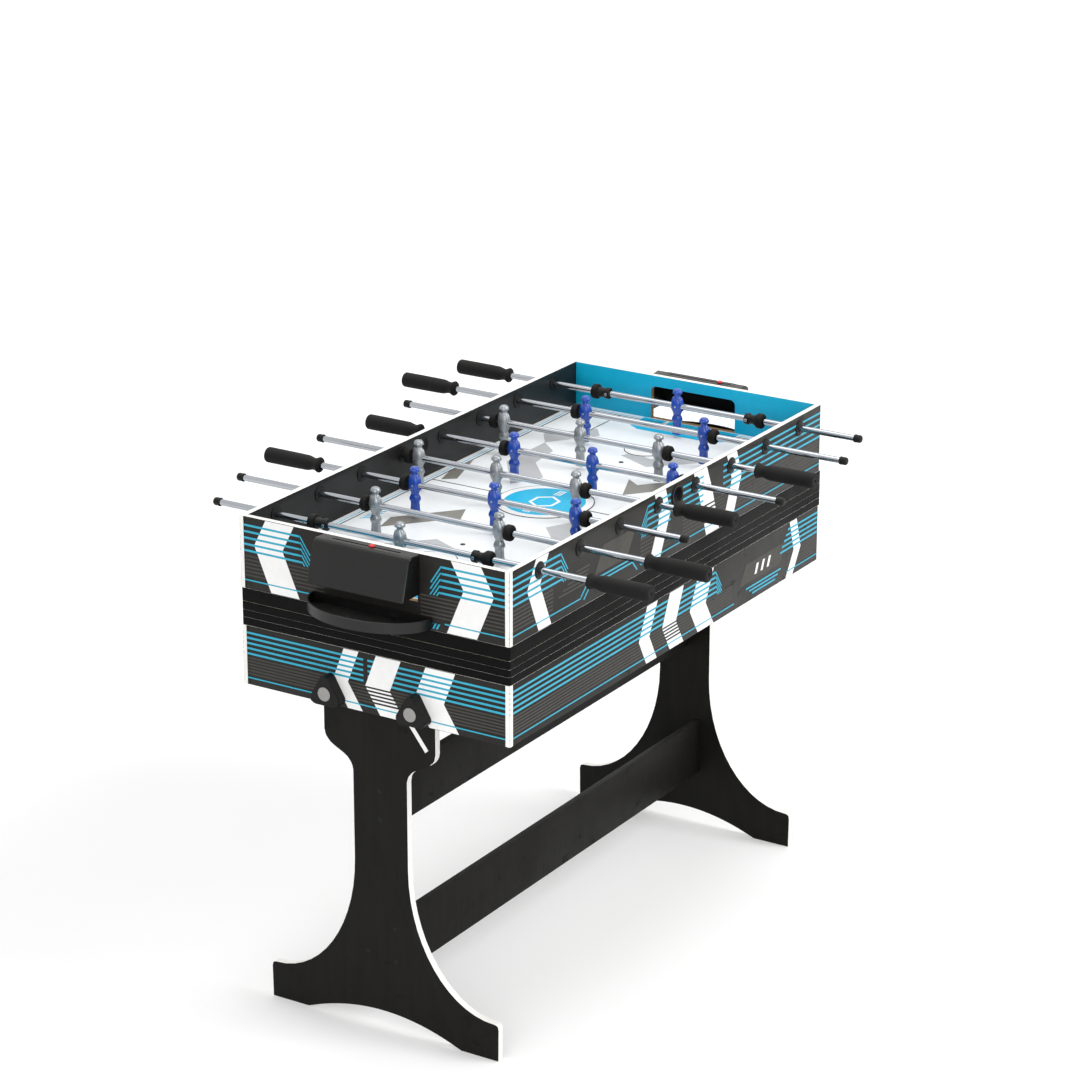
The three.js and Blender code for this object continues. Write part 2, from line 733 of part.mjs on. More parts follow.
// The bead of the score counter: a pill on the hood, a stem in the slot and a tail under it.
function scoreBead(side, place) {
  const middle = side * (halfLength + seatGap + counter.inset);
  const top = box.height;
  const stemHalf = counter.slot / 2 - runGap;
  const pill = cylinderAlongZ(counter.bead / 2, [top + runGap, top + counter.beadHeight]);
  const tailTop = top - hood.wall - runGap;
  const stemEnds = [tailTop - cutOver / 2, top + 2 * runGap];
  const stem = block([-stemHalf, stemHalf], [-stemHalf, stemHalf], stemEnds);
  const tail = block(
    [-counter.tail / 2, counter.tail / 2],
    [-counter.tail / 2, counter.tail / 2],
    [tailTop - counter.tailHeight, tailTop],
  );
  return pill.add(stem).add(tail).translate([middle, place, 0]);
}

// The catch tray: a half oval dish on the outside of the end wall.
function traySolid(side) {
  const wallFace = halfLength + seatGap;
  const half = (reach, halfWidthOfTray, back) => {
    const shape = new THREE.Shape();
    shape.absellipse(0, 0, reach, halfWidthOfTray, -Math.PI / 2, Math.PI / 2);
    if (back) shape.lineTo(back, halfWidthOfTray);
    if (back) shape.lineTo(back, -halfWidthOfTray);
    return shape;
  };
  const [bottom, top] = [tray.aboveBottom, tray.aboveBottom + tray.height];
  const outer = prismAlongZ(half(tray.reach, tray.width / 2), [bottom, top], round);
  const innerShape = half(tray.reach - tray.wall, tray.width / 2 - tray.wall);
  const inner = prismAlongZ(innerShape, [bottom + tray.wall, top + cutOver], round);
  const back = block([-cutOver, tray.wall], [-tray.width, tray.width], [bottom, top + 2 * cutOver]);
  const dish = outer.subtract(inner.subtract(back));
  const turnedDish = side < 0 ? dish.rotate([0, 0, 180]) : dish;
  return turnedDish.translate([side * wallFace, 0, 0]);
}

// A football player about the rod's axis: a turned body, narrower from front to back, on a
// block foot. Radii and heights are shares of the height over and under the rod.
function manSolid() {
  const bodyShares = [
    [0.25, -0.69],
    [0.28, -0.42],
    [0.23, -0.31],
    [0.34, -0.12],
    [0.37, 0.05],
    [0.27, 0.32],
    [0.19, 0.5],
    [0.3, 0.75],
    [0.18, 1],
    [0, 1],
  ];
  const depthShare = 0.8;
  const ankleShare = 0.8;
  const [w, d] = [man.footWidth / 2, man.footDepth / 2];
  const profile = bodyShares.map(
    ([radius, height]) => new THREE.Vector2(radius * man.headTop, height * man.headTop),
  );
  profile[0].y = -man.footTop;
  profile.unshift(new THREE.Vector2(0, -man.ankle), new THREE.Vector2(w * ankleShare, -man.ankle));
  const body = new THREE.LatheGeometry(profile, 8);
  body.rotateX(Math.PI / 2);
  body.scale(depthShare, 1, 1);
  const foot = prismAlongX(
    polygon([
      [-w, -man.footBottom],
      [w, -man.footBottom],
      [w * ankleShare, -man.footTop],
      [-w * ankleShare, -man.footTop],
    ]),
    [-d, d],
  );
  return toSolid(body).add(foot);
}

// The places of the men along a rod, from its middle.
function manPlaces(type) {
  if (type.men === 1) return [0];
  const outermost = boxInnerY - type.manToWall;
  const pitch = (2 * outermost) / (type.men - 1);
  return Array.from({ length: type.men }, (_, i) => i * pitch - outermost);
}

// The stop ring on one side of the middle, as a profile that runs outwards. A keeper's rod has a
// collar against the ring's inner face.
function stopProfile(type) {
  const half = stopRing.thickness / 2;
  const ringAt = type.ringToWall
    ? boxInnerY - type.ringToWall
    : manPlaces(type).at(-1) + stopRing.fromMan;
  const [from, to] = [ringAt - half, ringAt + half];
  const collarProfile = [
    [rod.radius, from - collar.length],
    [collar.radius, from - collar.length],
    [collar.radius, from],
  ];
  return [
    ...(type.ringToWall ? collarProfile : [[rod.radius, from]]),
    [stopRing.radius, from],
    [stopRing.radius, to - stopRing.round],
    [stopRing.radius - stopRing.round, to],
    [rod.radius, to],
  ];
}

// From the middle of a rod to the outer end of its grip.
function gripReach(type) {
  return halfWidth + type.gripPast;
}

// A steel rod with its end cap, stop rings and men. It lies along Y with its stub end at +Y.
function rodSolid(type) {
  const start = grip.holeDepth + seatGap - gripReach(type);
  const stop = stopProfile(type);
  const mirroredStop = stop.map(([radius, along]) => [radius, -along]).reverse();
  const stubReach = halfWidth + type.stubPast;
  const capStart = stubReach - rod.capLength;
  let solid = turned([
    [0, start],
    [rod.radius, start],
    ...mirroredStop,
    ...stop,
    [rod.radius, capStart],
    [rod.capRadius, capStart],
    [rod.capRadius, stubReach - rod.capRound],
    [rod.capRadius - rod.capRound, stubReach],
    [0, stubReach],
  ]);
  for (const y of manPlaces(type)) solid = solid.add(manSolid().translate([0, y, 0]));
  return solid;
}

// The grip on the other end of a rod, with the rod's bore and a small hole in its end.
function gripSolid(type) {
  const outerEnd = -gripReach(type);
  const innerEnd = outerEnd + grip.length;
  const { radius, neckRadius, flare, neck, endRound } = grip;
  const body = turned([
    [0, outerEnd],
    [radius - endRound, outerEnd],
    [radius, outerEnd + endRound],
    [radius, innerEnd - flare - neck],
    [neckRadius, innerEnd - flare - neck / 2],
    [radius, innerEnd - flare / 2],
    [neckRadius, innerEnd],
    [0, innerEnd],
  ], round);
  const bore = cylinderAlongY(rod.radius + runGap, [outerEnd + grip.holeDepth, innerEnd + cutOver]);
  const hole = cylinderAlongY(grip.hole, [outerEnd - cutOver, outerEnd + grip.holeDepth + cutOver]);
  return body.subtract(bore).subtract(hole);
}

function buildFootballBox(table) {
  const group = addLayer(table, boxBase);
  for (const { name, side } of longSides) {
    addPiece(group, `${name}_wall`, longWall(side), "blackLaminate");
  }
  const [x, y] = [boxInnerX - seatGap, boxInnerY - seatGap];
  const field = block([-x, x], [-y, y], [fieldTop - box.fieldThickness, fieldTop]);
  addPiece(group, "playing_field", field, "field");
  for (const { name, side } of ends) {
    const score = side < 0 ? counter.nearScore : counter.farScore;
    addPiece(group, `${name}_end_wall`, endWall(side), "blackLaminate");
    addPiece(group, `${name}_ball_hood`, hoodSolid(side), "blackPlastic");
    addPiece(group, `${name}_ball_tray`, traySolid(side), "blackPlastic");
    addPiece(group, `${name}_score_bead`, scoreBead(side, score), "redPlastic");
  }
  rods.forEach(({ type: typeName, team, gripSide, shift }, index) => {
    const type = rodTypes[typeName];
    const turn = gripSide < 0 ? 0 : Math.PI;
    const place = [rodX(index), shift, rodHeight];
    const look = team === "silver" ? "silverMen" : "blueMen";
    addPiece(group, `rod_${index + 1}`, rodSolid(type), look, place, turn);
    addPiece(group, `grip_${index + 1}`, gripSolid(type), "rubber", place, turn);
  });
}

const table = new THREE.Group();
table.name = "multi_game_table";
buildTrestle(table);
buildCabinet(table);
buildWhiteboard(table);
buildTennisBoard(table);
buildHockeyBoard(table);
buildSlingBoard(table);
buildFootballBox(table);

export default table;
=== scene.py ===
import bpy
import bmesh
import json
import math
import random
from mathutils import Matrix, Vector

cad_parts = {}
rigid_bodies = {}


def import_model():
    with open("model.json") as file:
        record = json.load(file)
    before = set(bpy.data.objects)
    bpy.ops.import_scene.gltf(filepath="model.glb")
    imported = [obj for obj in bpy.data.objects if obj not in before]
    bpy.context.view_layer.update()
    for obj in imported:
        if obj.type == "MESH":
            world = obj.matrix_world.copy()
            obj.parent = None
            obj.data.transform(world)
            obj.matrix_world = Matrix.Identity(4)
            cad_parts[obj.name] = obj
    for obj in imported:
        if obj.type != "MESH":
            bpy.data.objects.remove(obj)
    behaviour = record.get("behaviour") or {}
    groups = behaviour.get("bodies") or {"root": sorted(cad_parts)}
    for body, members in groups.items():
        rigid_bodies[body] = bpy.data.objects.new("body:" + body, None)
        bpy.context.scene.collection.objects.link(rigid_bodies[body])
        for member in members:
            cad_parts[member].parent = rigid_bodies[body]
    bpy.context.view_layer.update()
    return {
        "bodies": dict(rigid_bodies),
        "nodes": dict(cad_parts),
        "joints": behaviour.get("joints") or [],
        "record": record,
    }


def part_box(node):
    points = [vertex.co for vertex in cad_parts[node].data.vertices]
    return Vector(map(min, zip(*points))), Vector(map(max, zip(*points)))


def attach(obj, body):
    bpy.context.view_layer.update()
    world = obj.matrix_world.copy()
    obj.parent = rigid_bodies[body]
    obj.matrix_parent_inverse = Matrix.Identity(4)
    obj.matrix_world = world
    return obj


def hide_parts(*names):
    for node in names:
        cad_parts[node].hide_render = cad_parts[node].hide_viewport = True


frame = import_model()
print("frame loaded:", len(frame["nodes"]), "nodes")

mm = 0.001  # every size below is in millimetres and is scaled when a mesh is made
scene = bpy.context.scene
ends = (("near", -1), ("far", 1))
table = {"halfLength": 610, "halfWidth": 305, "boltHeight": 697, "boltSide": 98, "boltHole": 6.6}
endFace = 610.3  # the outside of an end wall, over its print


# shader building blocks

def shade(code, alpha=1.0):  # a screen colour such as "29b6dc" as linear light
    parts = [int(code[i:i + 2], 16) / 255 for i in (0, 2, 4)]
    return tuple([c / 12.92 if c <= 0.04045 else ((c + 0.055) / 1.055) ** 2.4 for c in parts] + [alpha])


def addNode(tree, kind, inputs=None, **settings):
    node = tree.nodes.new(kind)
    for name, value in settings.items():
        setattr(node, name, value)
    for name, value in (inputs or {}).items():
        if isinstance(value, bpy.types.NodeSocket):
            tree.links.new(value, node.inputs[name])
        else:
            node.inputs[name].default_value = value
    return node


def calc(tree, operation, first, second=0.0, clamp=False):
    return addNode(
        tree, "ShaderNodeMath", {0: first, 1: second}, operation=operation, use_clamp=clamp).outputs[0]


def mixColour(tree, factor, first, second):
    return addNode(tree, "ShaderNodeMix", {0: factor, 6: first, 7: second}, data_type="RGBA").outputs[2]


def stretched(tree, vector, amount):
    return addNode(tree, "ShaderNodeVectorMath", {0: vector, 1: amount}, operation="MULTIPLY").outputs[0]


def noise(tree, vector, scale, detail=4.0, rough=0.55):
    return addNode(
        tree, "ShaderNodeTexNoise", {"Vector": vector, "Scale": scale, "Detail": detail, "Roughness": rough}
    ).outputs[0]


def spread(tree, value, low, high):  # 0 at low, 1 at high
    return addNode(tree, "ShaderNodeMapRange", {"Value": value, "From Min": low, "From Max": high}).outputs[0]


def startGroup(name, inputs, outputs):
    tree = bpy.data.node_groups.new(name, "ShaderNodeTree")
    for socket, (kind, value) in inputs.items():
        made = tree.interface.new_socket(socket, in_out="INPUT", socket_type=kind)
        if value is not None:
            made.default_value = value
    for socket, kind in outputs.items():
        tree.interface.new_socket(socket, in_out="OUTPUT", socket_type=kind)
    return tree, tree.nodes.new("NodeGroupInput"), tree.nodes.new("NodeGroupOutput")


def makeGrainGroup():  # two colours mixed by a fine and a broad grain
    tree, given, made = startGroup("surfaceGrain", {
        "Vector": ("NodeSocketVector", None),
        "Scale": ("NodeSocketFloat", 60.0),
        "Contrast": ("NodeSocketFloat", 1.0),
        "Light": ("NodeSocketColor", (1, 1, 1, 1)),
        "Dark": ("NodeSocketColor", (0, 0, 0, 1)),
    }, {"Colour": "NodeSocketColor", "Height": "NodeSocketFloat"})
    fine = noise(tree, given.outputs["Vector"], given.outputs["Scale"], 5.0, 0.6)
    broad = noise(tree, given.outputs["Vector"], calc(tree, "MULTIPLY", given.outputs["Scale"], 0.06), 2.0)
    both = calc(tree, "SUBTRACT", calc(tree, "ADD", fine, calc(tree, "MULTIPLY", broad, 0.6)), 0.8)
    factor = calc(tree, "ADD", calc(tree, "MULTIPLY", both, given.outputs["Contrast"]), 0.5, clamp=True)
    colour = mixColour(tree, factor, given.outputs["Dark"], given.outputs["Light"])
    tree.links.new(colour, made.inputs["Colour"])
    tree.links.new(fine, made.inputs["Height"])
    return tree


def makeMarksGroup():  # hair scratches and smudges from handling
    tree, given, made = startGroup("handlingMarks", {
        "Vector": ("NodeSocketVector", None),
        "Amount": ("NodeSocketFloat", 0.5),
    }, {"Mask": "NodeSocketFloat"})
    vector = given.outputs["Vector"]
    lines = []
    for amount in ((260.0, 18.0, 30.0), (24.0, 300.0, 34.0)):
        streak = noise(tree, stretched(tree, vector, amount), 1.0, 3.0, 0.5)
        lines.append(spread(tree, streak, 0.66, 0.72))
    smudge = noise(tree, vector, 7.0, 3.0, 0.6)
    patch = spread(tree, smudge, 0.45, 0.75)
    total = calc(tree, "ADD", calc(tree, "MAXIMUM", lines[0], lines[1]), calc(tree, "MULTIPLY", patch, 0.7))
    tree.links.new(calc(tree, "MULTIPLY", total, given.outputs["Amount"], clamp=True), made.inputs["Mask"])
    return tree


def makeSkinGroup():  # the fine pebbled skin of moulded plastic, rubber and print
    tree, given, made = startGroup("mouldedSkin", {
        "Vector": ("NodeSocketVector", None),
        "Scale": ("NodeSocketFloat", 900.0),
    }, {"Height": "NodeSocketFloat"})
    cells = addNode(
        tree, "ShaderNodeTexVoronoi", {"Vector": given.outputs["Vector"], "Scale": given.outputs["Scale"]})
    small = noise(tree, given.outputs["Vector"], calc(tree, "MULTIPLY", given.outputs["Scale"], 0.5), 3.0)
    tree.links.new(calc(tree, "ADD", cells.outputs["Distance"], small), made.inputs["Height"])
    return tree


def makeDustGroup():  # a thin film on faces that look up
    tree, given, made = startGroup("dustFilm", {
        "Vector": ("NodeSocketVector", None),
        "Amount": ("NodeSocketFloat", 0.1),
    }, {"Mask": "NodeSocketFloat"})
    normal = addNode(tree, "ShaderNodeNewGeometry").outputs["Normal"]
    upward = addNode(tree, "ShaderNodeSeparateXYZ", {0: normal}).outputs[2]
    settled = spread(tree, upward, 0.3, 1.0)
    cloud = noise(tree, given.outputs["Vector"], 35.0, 5.0, 0.65)
    mask = calc(tree, "MULTIPLY", calc(tree, "MULTIPLY", settled, cloud), given.outputs["Amount"], clamp=True)
    tree.links.new(mask, made.inputs["Mask"])
    return tree


def makeWeaveGroup():  # napped woven cloth: two crossed thread waves under a fuzz of fibres
    tree, given, made = startGroup("clothWeave", {
        "Vector": ("NodeSocketVector", None),
        "Threads": ("NodeSocketFloat", 1400.0),
        "Light": ("NodeSocketColor", (1, 1, 1, 1)),
        "Dark": ("NodeSocketColor", (0, 0, 0, 1)),
    }, {"Colour": "NodeSocketColor", "Height": "NodeSocketFloat"})
    vector = given.outputs["Vector"]
    waves = []
    for axis in (0, 1):
        along = addNode(tree, "ShaderNodeSeparateXYZ", {0: vector}).outputs[axis]
        wave = calc(
            tree, "SINE",
            calc(tree, "MULTIPLY", along, calc(tree, "MULTIPLY", given.outputs["Threads"], 6.2832)))
        waves.append(wave)
    fuzz = noise(tree, vector, 520.0, 6.0, 0.7)
    broad = noise(tree, vector, 9.0, 3.0)
    height = calc(tree, "ADD", calc(tree, "MULTIPLY", calc(tree, "ADD", waves[0], waves[1]), 0.12), fuzz)
    tone = calc(tree, "ADD", calc(tree, "MULTIPLY", calc(tree, "SUBTRACT", height, 0.5), 0.9),
                calc(tree, "MULTIPLY", calc(tree, "SUBTRACT", broad, 0.5), 1.1))
    colour = mixColour(
        tree, calc(tree, "ADD", tone, 0.5, clamp=True), given.outputs["Dark"], given.outputs["Light"])
    tree.links.new(colour, made.inputs["Colour"])
    tree.links.new(height, made.inputs["Height"])
    return tree


groups = {
    "grain": makeGrainGroup(),
    "marks": makeMarksGroup(),
    "skin": makeSkinGroup(),
    "dust": makeDustGroup(),
    "weave": makeWeaveGroup(),
}

surface = {"contrast": 1.3, "grainBump": 0.6, "bump": 0.6, "dustColour": "b9b6b0", "dustRough": 0.5}
# the plain look, with roughness, grain scale, skin scale, bump depth in mm and wear
plainLook = {
    "shine": 0.4, "rough": 0.34, "grain": 60, "skin": 800, "depth": 0.03, "scuff": 0.12, "dust": 0.04,
    "metal": 0.0, "coat": 0.0, "sheen": 0.0,
}
# looks that several finishes share
edging = dict(grain=90, skin=900, depth=0.04, scuff=0.22)
panelInk = dict(shine=0.16, rough=0.4, scuff=0.14, dust=0.05)
boardInk = dict(shine=0.2, rough=0.26, grain=260, scuff=0.08)
woodWithCoat = dict(grain=90, stretch=(0.08, 1, 1), skin=500, depth=0.05, dust=0.02, coat=0.3)
ballLook = dict(rough=0.1, grain=40, skin=1200, depth=0.01, scuff=0.06, dust=0.01, coat=0.5)
rubberLook = dict(shine=0.14, rough=0.62, grain=260, skin=1500, depth=0.12, scuff=0.1, dust=0.03)
# each finish: its lighter and its darker tone, and what differs from the plain look
finishes = {
    "blackLaminate": ("262523", "1d1c1a", dict(
        panelInk, rough=0.42, grain=34, stretch=(0.35, 1, 1), skin=700, depth=0.05, scuff=0.16)),
    "legLaminate": ("1a1917", "100f0e", dict(
        shine=0.1, rough=0.5, stretch=(1, 1, 0.12), skin=650, depth=0.1, scuff=0.18)),
    "insideBlack": ("1c1b1a", "121211", dict(shine=0.22, rough=0.36, depth=0.04)),
    "insideCyan": ("16b2d8", "10a4ca", dict(shine=0.25, grain=50, scuff=0.1, dust=0.05)),
    "whiteEdge": ("f6f5f1", "eae8e2", dict(edging, rough=0.42)),
    "creamEdge": ("f1ecdd", "e6dfca", dict(edging, rough=0.38)),
    "blackEdge": ("101010", "080808", dict(
        edging, shine=0.05, rough=0.45, grain=150, depth=0.05, scuff=0.2, dust=0.02)),
    "blackPlastic": ("151514", "0c0c0b", dict(
        shine=0.16, rough=0.4, grain=120, skin=1300, depth=0.1, scuff=0.16)),
    "hoodPlastic": ("131211", "0b0a0a", dict(
        shine=0.34, rough=0.32, grain=90, skin=1500, depth=0.12, scuff=0.14)),
    "redPlastic": ("e02c30", "cf2126", dict(
        rough=0.28, grain=90, skin=1300, depth=0.05, scuff=0.14, dust=0.03)),
    "rubber": ("191817", "0f0e0e", dict(
        rubberLook, rough=0.72, grain=220, skin=1800, depth=0.14, dust=0.05)),
    "gripRubber": ("1b1a1a", "111010", rubberLook),
    "greyDisc": ("9b9a98", "83827f", dict(rough=0.4, grain=240, skin=1400, depth=0.06, scuff=0.16)),
    "cyanInk": ("36acc6", "2a9cb8", dict(panelInk, shine=0.3, rough=0.36)),
    "greyInk": ("46443f", "3a3834", panelInk),
    "darkInk": ("262523", "1d1c1a", panelInk),
    "boardCyan": ("1ab6de", "10a8d2", dict(shine=0.14, rough=0.36, scuff=0.1, dust=0.03)),
    "whiteInk": ("f4f4f3", "e8e8e7", dict(rough=0.36, scuff=0.14)),
    "paleGreyInk": ("b9bbbd", "abadaf", {}),
    "midGreyInk": ("84817a", "75726b", {}),
    "redInk": ("e4464a", "d63a3f", {}),
    "field": ("f3f5f6", "e4e9ec", dict(rough=0.3, grain=16, skin=900, scuff=0.14, dust=0.03)),
    "whiteSheet": ("fafbfa", "f5f6f5", dict(
        rough=0.22, grain=6, skin=300, depth=0.005, scuff=0.05, dust=0.0, coat=0.2)),
    "tennisGrey": ("c2c6c7", "b8bcbd", dict(
        shine=0.12, rough=0.5, grain=180, skin=1100, depth=0.1, dust=0.02)),
    "hockeyGrey": ("63615c", "5d5b56", dict(boardInk, dust=0.02)),
    "hockeyDark": ("4f4d49", "494743", boardInk),
    "paleLine": ("8f8d84", "86847b", boardInk),
    "laneGrey": ("33312e", "292724", dict(boardInk, shine=0.08, rough=0.24, grain=240)),
    "boardBack": ("dcdad5", "cfccc5", dict(
        shine=0.25, rough=0.7, grain=90, skin=900, depth=0.08, scuff=0.1, dust=0.02)),
    "rawBoard": ("b08d62", "8e6f4b", dict(
        rough=0.8, grain=420, skin=900, depth=0.3, scuff=0.0, dust=0.05)),
    "silverTeam": ("a6aaad", "7f8386", dict(
        rough=0.3, grain=150, skin=1500, depth=0.06, scuff=0.14, dust=0.03, metal=0.65)),
    "blueTeam": ("1a4cb2", "123a92", dict(
        rough=0.24, grain=120, skin=1500, depth=0.05, dust=0.03, coat=0.3)),
    "chrome": ("bcc0c5", "9da1a7", dict(
        rough=0.09, grain=200, stretch=(1, 0.05, 1), skin=2000, depth=0.01, scuff=0.1, dust=0.0, metal=1.0)),
    "steel": ("c4c6c8", "a5a8ab", dict(
        rough=0.3, grain=300, skin=2000, depth=0.04, scuff=0.16, dust=0.02, metal=1.0)),
    "redBall": ("d3262b", "c61f25", dict(ballLook, shine=0.35, rough=0.16, coat=0.2)),
    "blackBall": ("161616", "0d0d0d", ballLook),
    "greenBall": ("0f6140", "0b5236", ballLook),
    "blueBall": ("1d2f8f", "17267a", ballLook),
    "maple": ("e3b37c", "c98f55", dict(woodWithCoat, depth=0.06)),
    "cueGrey": ("6f6c69", "5b5855", woodWithCoat),
    "pinCream": ("f3e7b4", "ead99c", dict(rough=0.26, skin=900, scuff=0.1, dust=0.02)),
    "cloth": ("fb4644", "ec3b3a", dict(
        shine=0.12, rough=0.85, weave=1100, skin=900, depth=0.18, scuff=0.05, dust=0.0, sheen=0.06)),
    "penWhite": ("f1f0f6", "e2e1ea", dict(rough=0.3, grain=90, skin=1200, scuff=0.1, dust=0.02)),
}


def makeFinish(name, light, dark, own):
    look = {**plainLook, **own}
    material = bpy.data.materials.new(name)
    material.use_nodes = True
    tree = material.node_tree
    principled = tree.nodes["Principled BSDF"]
    place = addNode(tree, "ShaderNodeTexCoord").outputs["Object"]
    base = {"Vector": stretched(tree, place, look["stretch"]) if "stretch" in look else place,
            "Light": shade(light), "Dark": shade(dark)}
    if "weave" in look:
        body = addNode(tree, "ShaderNodeGroup", {**base, "Threads": look["weave"]}, node_tree=groups["weave"])
    else:
        base.update({"Scale": look["grain"], "Contrast": surface["contrast"]})
        body = addNode(tree, "ShaderNodeGroup", base, node_tree=groups["grain"])
    marks, film, skin = [
        addNode(tree, "ShaderNodeGroup", {"Vector": place, socket: look[key]}, node_tree=groups[group])
        for group, socket, key in (
            ("marks", "Amount", "scuff"), ("dust", "Amount", "dust"), ("skin", "Scale", "skin"))]
    dusty = mixColour(tree, film.outputs["Mask"], body.outputs["Colour"], shade(surface["dustColour"]))
    worn = calc(tree, "ADD", marks.outputs["Mask"], look["rough"])
    dull = calc(tree, "MULTIPLY", film.outputs["Mask"], surface["dustRough"])
    rough = calc(tree, "ADD", worn, dull, clamp=True)
    grain = calc(tree, "MULTIPLY", body.outputs["Height"], surface["grainBump"])
    height = calc(tree, "ADD", grain, skin.outputs["Height"])
    bump = addNode(tree, "ShaderNodeBump", {
        "Height": height, "Strength": surface["bump"], "Distance": look["depth"] * mm,
    })
    tree.links.new(dusty, principled.inputs["Base Color"])
    tree.links.new(rough, principled.inputs["Roughness"])
    tree.links.new(bump.outputs["Normal"], principled.inputs["Normal"])
    for socket, key in (
        ("Metallic", "metal"), ("Specular IOR Level", "shine"), ("Coat Weight", "coat"),
        ("Sheen Weight", "sheen")
    ):
        principled.inputs[socket].default_value = look[key]
    return material


materials = {name: makeFinish(name, *look) for name, look in finishes.items()}
print("finishes:", len(materials))


# mesh building blocks

def blockShape(x, y, z, edge=0.8, steps=2):  # a block with softened edges
    shape = bmesh.new()
    bmesh.ops.create_cube(shape, size=1.0)
    for vert in shape.verts:
        vert.co = Vector([limits[1] if c > 0 else limits[0] for c, limits in zip(vert.co, (x, y, z))])
    if edge:
        softEdges(shape, shape.edges[:], edge, steps)
    return shape


def softEdges(shape, edges, offset, steps=2):
    bmesh.ops.bevel(shape, geom=edges, offset=offset, offset_type="OFFSET", segments=steps,
                    profile=0.5, affect="EDGES", clamp_overlap=True)


def inPlane(axis, u, v, along):
    return {"x": (along, u, v), "y": (u, along, v), "z": (u, v, along)}[axis]


def prismShape(outline, axis, limits, edge=0.0, steps=2):  # an outline run along an axis
    shape = bmesh.new()
    rings = [[shape.verts.new(inPlane(axis, u, v, end)) for u, v in outline] for end in limits]
    caps = [shape.faces.new(ring) for ring in rings]
    count = len(outline)
    for i in range(count):
        shape.faces.new([rings[0][i], rings[0][(i + 1) % count], rings[1][(i + 1) % count], rings[1][i]])
    if edge:
        softEdges(shape, [e for cap in caps for e in cap.edges], edge, steps)
    return shape


def turnedShape(profile, axis="y", centre=(0, 0), segments=32):  # [radius, along] turned about an axis
    shape = bmesh.new()
    rings = []
    for radius, along in profile:
        if radius < 0.001:
            rings.append([shape.verts.new(inPlane(axis, centre[0], centre[1], along))])
            continue
        ring = []
        for i in range(segments):
            angle = 2 * math.pi * i / segments
            u, v = centre[0] + radius * math.cos(angle), centre[1] + radius * math.sin(angle)
            ring.append(shape.verts.new(inPlane(axis, u, v, along)))
        rings.append(ring)
    pairs = list(zip(rings, rings[1:]))
    if len(rings[0]) > 1:
        pairs.append((rings[-1], rings[0]))
    joinRings(shape, pairs, segments)
    return shape


def pegShape(radius, limits, axis, centre, segments):  # a plain peg, mostly to cut a hole
    start, end = limits
    return turnedShape([(0, start), (radius, start), (radius, end), (0, end)], axis, centre, segments)


def joinRings(shape, pairs, segments):
    for first, second in pairs:
        for i in range(segments):
            corners = [first[i % len(first)], first[(i + 1) % len(first)],
                       second[(i + 1) % len(second)], second[i % len(second)]]
            corners = list(dict.fromkeys(corners))
            if len(corners) > 2:
                shape.faces.new(corners)


def softCorners(points, radius, closed=False, steps=3):  # each corner of a line becomes a short curve
    made = []
    count = len(points)
    for i, point in enumerate(points):
        if not closed and i in (0, count - 1):
            made.append(tuple(point))
            continue
        here = Vector(point)
        before, after = Vector(points[i - 1]), Vector(points[(i + 1) % count])
        back, ahead = before - here, after - here
        reach = min(radius, back.length * 0.45, ahead.length * 0.45)
        start, end = here + back.normalized() * reach, here + ahead.normalized() * reach
        for k in range(steps + 1):
            t = k / steps
            made.append(tuple(start * (1 - t) ** 2 + here * 2 * t * (1 - t) + end * t ** 2))
    return made


def ballShape(centre, radius, segments=32, rings=18):
    turns = [math.pi * i / rings for i in range(rings + 1)]
    profile = [(radius * math.sin(a), centre[2] - radius * math.cos(a)) for a in turns]
    profile[0], profile[-1] = (0, centre[2] - radius), (0, centre[2] + radius)
    return turnedShape(profile, "z", centre[:2], segments)


def addShape(target, other):  # joins two shapes without a boolean
    mesh = bpy.data.meshes.new("joined")
    other.to_mesh(mesh)
    target.from_mesh(mesh)
    bpy.data.meshes.remove(mesh)
    other.free()
    return target


def looseObject(name, shape):
    bmesh.ops.recalc_face_normals(shape, faces=shape.faces[:])
    mesh = bpy.data.meshes.new(name)
    shape.to_mesh(mesh)
    shape.free()
    made = bpy.data.objects.new(name, mesh)
    scene.collection.objects.link(made)
    return made


def dropObject(piece):
    mesh = piece.data
    bpy.data.objects.remove(piece)
    bpy.data.meshes.remove(mesh)


def asPlainMesh(piece):  # the mesh with its modifiers applied
    graph = bpy.context.evaluated_depsgraph_get()
    return bpy.data.meshes.new_from_object(piece.evaluated_get(graph))


def cutShape(shape, cutters):
    target = looseObject("workpiece", shape)
    tools = [looseObject("cutter", cutter) for cutter in cutters]
    for tool in tools:
        step = target.modifiers.new("cut", "BOOLEAN")
        step.operation = "DIFFERENCE"
        step.solver = "EXACT"
        step.object = tool
    mesh = asPlainMesh(target)
    made = bmesh.new()
    made.from_mesh(mesh)
    bpy.data.meshes.remove(mesh)
    for piece in tools + [target]:
        dropObject(piece)
    return made


def makePiece(name, shape, body, finish, replaced=(), smooth=32, paint=None):
    bmesh.ops.recalc_face_normals(shape, faces=shape.faces[:])
    for vert in shape.verts:
        vert.co *= mm
    shape.normal_update()
    names = [finish] if isinstance(finish, str) else list(finish)
    if paint:
        for face in shape.faces:
            face.material_index = names.index(paint(face.normal, face.calc_center_median() / mm))
    mesh = bpy.data.meshes.new(name)
    shape.to_mesh(mesh)
    shape.free()
    for each in names:
        mesh.materials.append(materials[each])
    mesh.shade_smooth()
    mesh.set_sharp_from_angle(angle=math.radians(smooth))
    piece = bpy.data.objects.new(name, mesh)
    scene.collection.objects.link(piece)
    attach(piece, body)
    if replaced:
        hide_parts(*replaced)
    return piece


def limitsOf(node):  # a CAD node's limits in millimetres
    low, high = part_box(node)
    return [(low[i] / mm, high[i] / mm) for i in range(3)]


